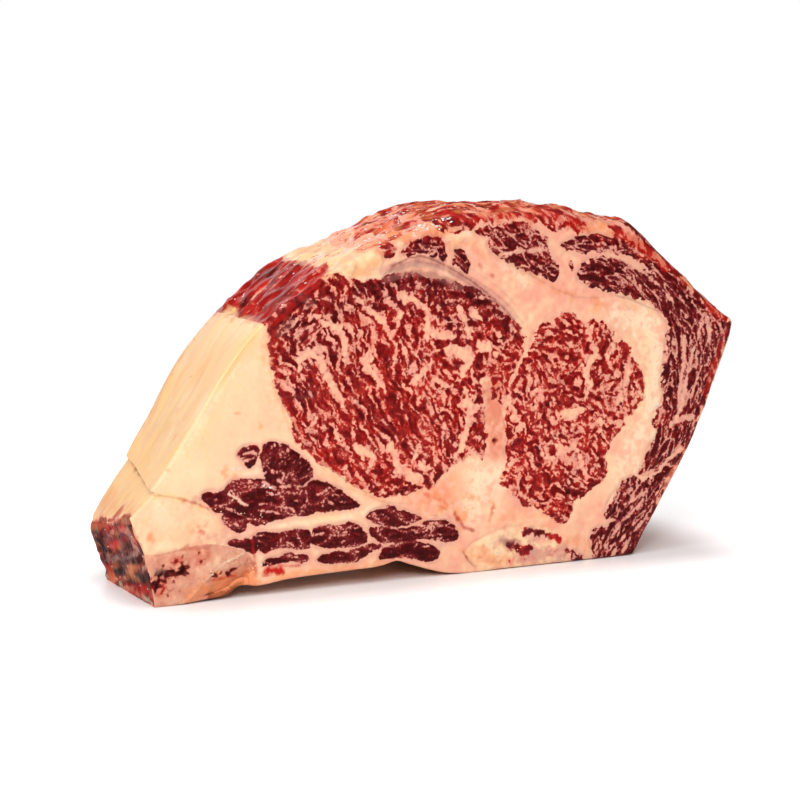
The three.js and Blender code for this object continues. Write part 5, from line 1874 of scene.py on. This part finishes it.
@dataclass(frozen=True)
class Bit:
    """One kind of small bits on the roast, and where they lie.

    The stretches give the share of the full density on parts of the skin; the spots are paths on
    the front cut.  The size is length, width and height.
    """

    name: str
    slot: str
    per_square_cm: float
    size: tuple[float, float, float]
    seed: int
    finish: BitFinish
    stretches: tuple[tuple[str, float], ...] = ()
    spots: tuple[Stroke, ...] = ()
    ragged: float = 0.0


# Drops of juice with a glossy coat, coloured near white: that colour is a painted highlight, so that they
# read as glints.
JUICE_GLINTS = BitFinish("juice_glint_film", "#E9D2CA", "#FFFFFF", 0.1, 0.25, 0.9, 1.0)
STRANDS = BitFinish("torn_strand", "#A82A22", "#D98A74", 0.4, 0.0, 0.2)
CRUMBS = BitFinish("fat_crumb", "#EFB792", "#FDE9CE", 0.5, 0.0, 0.3)

BITS = (
    # Painted glints: the whitish drops on the wet crown and slope and at the listed spots of the front cut.
    Bit("juice_glint_drops", "fresh_lean", 70.0, (1.0, 0.6, 0.3), 41, JUICE_GLINTS,
        (("crown", 0.05), ("crown_end", 0.14), ("bare_slope", 0.02)),
        strokes(
            (1, 2.4, 1.4, (101, 141.4), (108, 142.8), (115, 144)),
            (1, 3, 1.6, (113, 146), (121, 145.4), (128, 147.6)),
            (0.8, 1.4, 1, (119.6, 142), (124, 141.4)), (0.9, 1.4, 1, (131.4, 137.6), (135.6, 138.4)),
            (0.6, 1.2, 0.9, (142.6, 143.6), (143.4, 145)), (0.6, 1.2, 0.9, (146.4, 146.4), (147.6, 144.8)),
            (0.8, 1, 0.8, (60.6, 118.6), (65.6, 121)), (0.7, 1.6, 0.9, (55, 114.4), (58.4, 115.4)),
            (0.5, 1, 0.7, (95, 140), (99, 139.6)), (0.8, 1.2, 0.9, (33, 51), (36, 50.4)),
            (0.7, 1, 0.7, (91, 79), (93.4, 78.4)),
            (0.3, 1.2, 1, (44, 49.4), (46, 44), (50, 40)), (0.4, 1.2, 0.8, (225, 68), (227, 63)),
            (0.3, 1, 0.8, (212, 105), (226, 101)), (0.3, 2, 1, (76, 127), (90, 131)),
            (0.5, 0.8, 0.6, (149, 6.9), (152, 6.5)))),
    Bit("torn_strands", "fresh_lean", 9.0, (3.0, 0.5, 0.24), 43, STRANDS,
        (("crown", 0.6), ("crown_end", 0.4), ("bare_slope", 0.35), ("slope", 0.5), ("right_side", 0.2)),
        (), 0.3),
    Bit("saw_crumbs", "fat", 60.0, (0.6, 0.45, 0.4), 45, CRUMBS,
        (("sawn_end", 0.015),),
        strokes(
            (1, 3, 1.2, (41.6, 24), (43.4, 17), (43.6, 9), (44, 6)),
            (0.5, 2, 1.5, (10, 1), (17, 6), (23, 11), (36, 17.5)),
            (0.3, 2, 1.5, (24, 37), (34, 35), (44, 30)), (0.5, 2, 1.4, (225.6, 68), (226, 62)),
            (0.3, 2, 1.4, (160, 11), (176, 8))), 0.5),
)


@dataclass
class Scatter:
    """Strews small bits over the whole roast by geometry nodes."""

    slab: Slab
    places: Places
    points: Array
    seed: int = 71
    turn: float = 0.35
    overlap: float = 3.0
    pitch: float = 0.5
    spot_edge: float = 1.5
    front_depth: float = 3.5
    clear_of_board: float = 1.0
    farthest: float = 20.0
    ball_radius: float = 0.5
    lump_scale: float = 2.0
    growth: tuple[float, float] = (0.45, 1.35)

    def prepare(self, host: bpy.types.Object) -> None:
        """Stores on the host which way the skin runs, with a little turn from place to place."""
        turn = np.random.default_rng(self.seed).normal(0.0, self.turn, len(self.points))
        run = np.stack([self.places.run[:, 0], turn, self.places.run[:, 1]], axis=1)
        layer = host.data.attributes.new("run", "FLOAT_VECTOR", "POINT")
        layer.data.foreach_set("vector", run.astype(np.float32).ravel())
        host.data.attributes.new("strewn", "FLOAT", "POINT")

    def density(self, bit: Bit) -> Array:
        """The share of the full density at each point of the host."""
        x, y, z = self.points.T
        half = self.slab.thickness / 2
        total = np.zeros(len(x))
        for name, share in bit.stretches:
            own = self.slab.outline.weight(self.places.along, (name,), self.overlap)
            total = np.maximum(total, share * own * self.places.skin)
        front = np.flatnonzero(y < self.front_depth - half)
        raster = Raster(*FACE_BOX, self.pitch)
        spots = laid(bit.spots, raster, raster.noise(bit.seed, self.spot_edge))
        total[front] = np.maximum(total[front], raster.read(spots, x[front], z[front]))
        return total * (z > self.clear_of_board) * (y < self.farthest)

    def tree(self, bit: Bit, inputs: dict[str, float]) -> bpy.types.NodeTree:
        """The geometry nodes that place one kind of bits.

        Args:
            bit: what is strewn.
            inputs: the names of the group's numbers, with their values.

        Returns:
            The node group.
        """
        tree = bpy.data.node_groups.new(bit.name + "_strewn", "GeometryNodeTree")
        tree.interface.new_socket("Geometry", in_out="INPUT", socket_type="NodeSocketGeometry")
        for name, value in inputs.items():
            kind = "NodeSocketInt" if isinstance(value, int) else "NodeSocketFloat"
            tree.interface.new_socket(name, in_out="INPUT", socket_type=kind)
        tree.interface.new_socket("Geometry", in_out="OUTPUT", socket_type="NodeSocketGeometry")
        add = partial(add_node, tree)
        given = add("NodeGroupInput", {}).node.outputs
        strewn, run = (
            add("GeometryNodeInputNamedAttribute", {"Name": name}, "Attribute", data_type=kind)
            for name, kind in (("strewn", "FLOAT"), ("run", "FLOAT_VECTOR")))
        density = add("ShaderNodeMath", (strewn, given["Density"]), operation="MULTIPLY")
        spots = add("GeometryNodeDistributePointsOnFaces", {
            "Mesh": given["Geometry"], "Seed": given["Seed"], "Density": density,
        }, distribute_method="RANDOM").node.outputs
        ball = add("GeometryNodeMeshIcoSphere", {"Radius": self.ball_radius, "Subdivisions": 2}, "Mesh")
        lumps = add("ShaderNodeTexNoise", {"Scale": self.lump_scale}, "Color")
        lumps = add("ShaderNodeVectorMath", (lumps, (0.5, 0.5, 0.5)), operation="SUBTRACT")
        lumps = add("ShaderNodeVectorMath", {0: lumps, "Scale": given["Raggedness"]}, operation="SCALE")
        lump = add("GeometryNodeSetPosition", {"Geometry": ball, "Offset": lumps})
        smallest, largest = self.growth
        grown = add("FunctionNodeRandomValue", {
            2: smallest, 3: largest, "Seed": given["Seed"]}, 1, data_type="FLOAT")
        size = add("ShaderNodeCombineXYZ", {
            axis: add("ShaderNodeMath", (grown, given[name]), operation="MULTIPLY")
            for axis, name in (("X", "Length"), ("Y", "Width"), ("Z", "Height"))})
        aimed = add("FunctionNodeAlignRotationToVector", {"Vector": run}, axis="X", pivot_axis="AUTO")
        aimed = add("FunctionNodeAlignRotationToVector", {
            "Vector": spots["Normal"], "Rotation": aimed}, axis="Z", pivot_axis="X")
        placed = add("GeometryNodeInstanceOnPoints", {
            "Points": spots["Points"], "Instance": lump, "Rotation": aimed, "Scale": size})
        solid = add("GeometryNodeRealizeInstances", {"Geometry": placed})
        dressed = add("GeometryNodeSetMaterial", {"Geometry": solid, "Material": bit.finish.material()})
        add("NodeGroupOutput", {"Geometry": dressed})
        return tree

    def strew(self, host: bpy.types.Object, bit: Bit) -> None:
        """Makes one piece of all the bits of one kind."""
        density = self.density(bit).astype(np.float32)
        host.data.attributes["strewn"].data.foreach_set("value", density)
        length, width, height = (float(size * MM) for size in bit.size)
        inputs = {"Density": bit.per_square_cm * 1e4, "Length": length, "Width": width, "Height": height,
                  "Raggedness": bit.ragged, "Seed": bit.seed}
        modifier = host.modifiers.new(bit.name, "NODES")
        modifier.node_group = self.tree(bit, inputs)
        for item in modifier.node_group.interface.items_tree:
            if item.in_out == "INPUT" and item.name in inputs:
                modifier[item.identifier] = inputs[item.name]
        graph = bpy.context.evaluated_depsgraph_get()
        mesh = bpy.data.meshes.new_from_object(host.evaluated_get(graph), depsgraph=graph)
        host.modifiers.remove(modifier)
        mesh.name = bit.name
        mesh.shade_smooth()
        piece = put(bit.name, mesh)
        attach(piece, BODY)
        LOG.info("%s: %d faces", piece.name, len(mesh.polygons))


def main() -> None:
    """Builds the roast, tissue by tissue, and the studio round it."""
    logging.basicConfig(level=logging.INFO, format="%(message)s")
    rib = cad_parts["rib_bone"].data
    corner_x = min(v.co.x for v in rib.vertices if v.co.z < 0.01 * MM) / MM
    slab = Slab()
    for tissue in TISSUES:
        tissue.read_outline(corner_x, slab)
    points, triangles = slab.build([t.loop for t in TISSUES if isinstance(t.look, Marbling)], Relief(TISSUES))
    LOG.info("slab: %d triangles", len(triangles))
    whole = mesh_of("whole", points, triangles, corner_x)
    cuts = (CutFace(TISSUES, 0.0, 0), CutFace(TISSUES, 1.0, 5000))
    dresser = Dresser(corner_x, slab, Locator(slab), cuts, SkinFace(slab.outline, 3000))
    for tissue in TISSUES:
        tool = mesh_of("tool", *tissue.prism(slab), corner_x)
        piece = cut(whole, tool, "INTERSECT", tissue.node + "_meat")
        bpy.data.objects.remove(tool)
        dresser.dress(piece, tissue.slot, tissue.node)
    tools = [tissue.prism(slab) for tissue in TISSUES]
    starts = np.cumsum([0, *(len(p) for p, _ in tools)])
    joined = [[int(i + start) for i in face] for (_, faces), start in zip(tools, starts) for face in faces]
    tool = mesh_of("tool", np.concatenate([p for p, _ in tools]), joined, corner_x)
    fat = cut(whole, tool, "DIFFERENCE", "fat_body_meat")
    bpy.data.objects.remove(tool)
    dresser.dress(fat, "fat", "fat_body")
    scatter = Scatter(slab, dresser.locator.find(points), points)
    scatter.prepare(whole)
    for bit in BITS:
        scatter.strew(whole, bit)
    bpy.data.objects.remove(whole)
    Studio(corner_x).build()


@dataclass(frozen=True)
class Lamp:
    """A square area light that looks at one point; places in the roast's millimetres."""

    name: str
    place: tuple[float, float, float]
    target: tuple[float, float, float]
    size: float
    power: float


@dataclass
class Studio:
    """A pale floor that fades into a white surround, soft light from the upper left, and the camera."""

    corner_x: float
    lamps: tuple[Lamp, ...] = (
        Lamp("key_light", (-420, -900, 620), (100, 0, 70), 300, 4.5),
        Lamp("top_light", (100, -500, 1100), (110, 0, 0), 900, 8.0),
        Lamp("side_light", (-900, -260, 520), (60, 0, 60), 420, 4.4),
        Lamp("back_light", (180, 950, 560), (120, 0, 60), 500, 2.2),
    )
    surround: float = 0.22
    camera_place: tuple[float, float, float] = (-271.84, -768.90, 185.65)
    azimuth: float = -26.917
    elevation: float = 7.7
    focal: float = 95.0
    sensor: float = 36.0
    clip: tuple[float, float] = (0.05, 60.0)
    floor_size: float = 1400.0
    floor_fade: tuple[float, float] = (300.0, 700.0)
    floor_glow: tuple[float, float] = (0.0, 0.5)
    floor_glow_reach: tuple[float, float] = (2.0, 45.0)
    floor_colour: str = "#EEEDED"
    floor_roughness: float = 0.32
    floor_specular: float = 0.16
    footprint: tuple[float, float, float] = (110.0, 26.0, 0.0)

    def build(self) -> None:
        """Adds the floor, the lights and the camera."""
        self.floor()
        for lamp in self.lamps:
            self.light(lamp)
        self.world()
        bpy.context.scene.view_settings.view_transform = "Standard"
        self.camera()

    def placed(self, point: Sequence[float]) -> Vector:
        """A point of the roast's millimetres in the frame's metres."""
        return Vector((point[0] + self.corner_x, point[1], point[2])) * MM

    def world(self) -> None:
        """A surround that the camera sees as white and that lights the roast softly."""
        world = bpy.data.worlds.new("studio")
        bpy.context.scene.world = world
        world.use_nodes = True
        world.node_tree.nodes.clear()
        add = partial(add_node, world.node_tree)
        seen = add("ShaderNodeLightPath", {}, "Is Camera Ray")
        strength = add("ShaderNodeMapRange", (seen, 0.0, 1.0, self.surround, 1.0))
        shade = add("ShaderNodeBackground", {"Color": linear_colour("#FFFFFF"), "Strength": strength})
        add("ShaderNodeOutputWorld", {"Surface": shade})

    def floor(self) -> None:
        """A wide pale floor, slightly glossy, brighter far away and clear towards its edge."""
        size = self.floor_size
        corners = np.array([(-size, -size, 0), (size, -size, 0), (size, size, 0), (-size, size, 0)], float)
        floor = mesh_of("floor", corners, [[0, 1, 2, 3]], 0.0)
        material = new_material("pale_floor")
        add = partial(add_node, material.node_tree)
        smooth = {"interpolation_type": "SMOOTHSTEP"}
        footprint = [side * MM for side in self.footprint]
        fade, glow = ([end * MM for end in reach] for reach in (self.floor_fade, self.floor_glow_reach))
        place = add("ShaderNodeTexCoord", {}, "Object")
        past = add("ShaderNodeVectorMath", (place,), operation="ABSOLUTE")
        past = add("ShaderNodeVectorMath", (past, footprint), operation="SUBTRACT")
        past = add("ShaderNodeVectorMath", (past, (0.0, 0.0, 0.0)), operation="MAXIMUM")
        beside, away = (
            add("ShaderNodeVectorMath", (line,), "Value", operation="LENGTH") for line in (past, place))
        # Painted light: the floor glows, not at all beside the roast's footprint and fully a few centimetres
        # from it, so that the cast shadows stay short and the floor beyond them is white.
        shine = add("ShaderNodeMapRange", (beside, *glow, *self.floor_glow), **smooth)
        cover = add("ShaderNodeMapRange", (away, *fade, 1.0, 0.0), **smooth)
        surface = add("ShaderNodeBsdfPrincipled", {
            "Base Color": linear_colour(self.floor_colour), "Roughness": self.floor_roughness,
            "Specular IOR Level": self.floor_specular, "Emission Color": linear_colour("#FFFFFF"),
            "Emission Strength": shine, "Alpha": cover})
        add("ShaderNodeOutputMaterial", {"Surface": surface})
        floor.data.materials.append(material)

    def aim(self, thing: bpy.types.Object, place: Sequence[float], along: Vector) -> None:
        """Places a lamp or the camera and turns it along a direction."""
        thing.location = self.placed(place)
        thing.rotation_mode = "QUATERNION"
        thing.rotation_quaternion = along.to_track_quat("-Z", "Y")

    def light(self, lamp: Lamp) -> None:
        """Adds one lamp."""
        data = bpy.data.lights.new(lamp.name, "AREA")
        data.size, data.energy = lamp.size * MM, lamp.power
        toward = self.placed(lamp.target) - self.placed(lamp.place)
        self.aim(put(lamp.name, data), lamp.place, toward)

    def camera(self) -> None:
        """The camera, level and without shift."""
        data = bpy.data.cameras.new("camera")
        data.lens, data.sensor_width = self.focal, self.sensor
        data.clip_start, data.clip_end = self.clip
        camera = put("camera", data)
        turn, rise = math.radians(self.azimuth), math.radians(self.elevation)
        back = Vector((math.sin(turn) * math.cos(rise), -math.cos(turn) * math.cos(rise), math.sin(rise)))
        self.aim(camera, self.camera_place, -back)
        bpy.context.scene.camera = camera


if __name__ == "__main__":
    main()
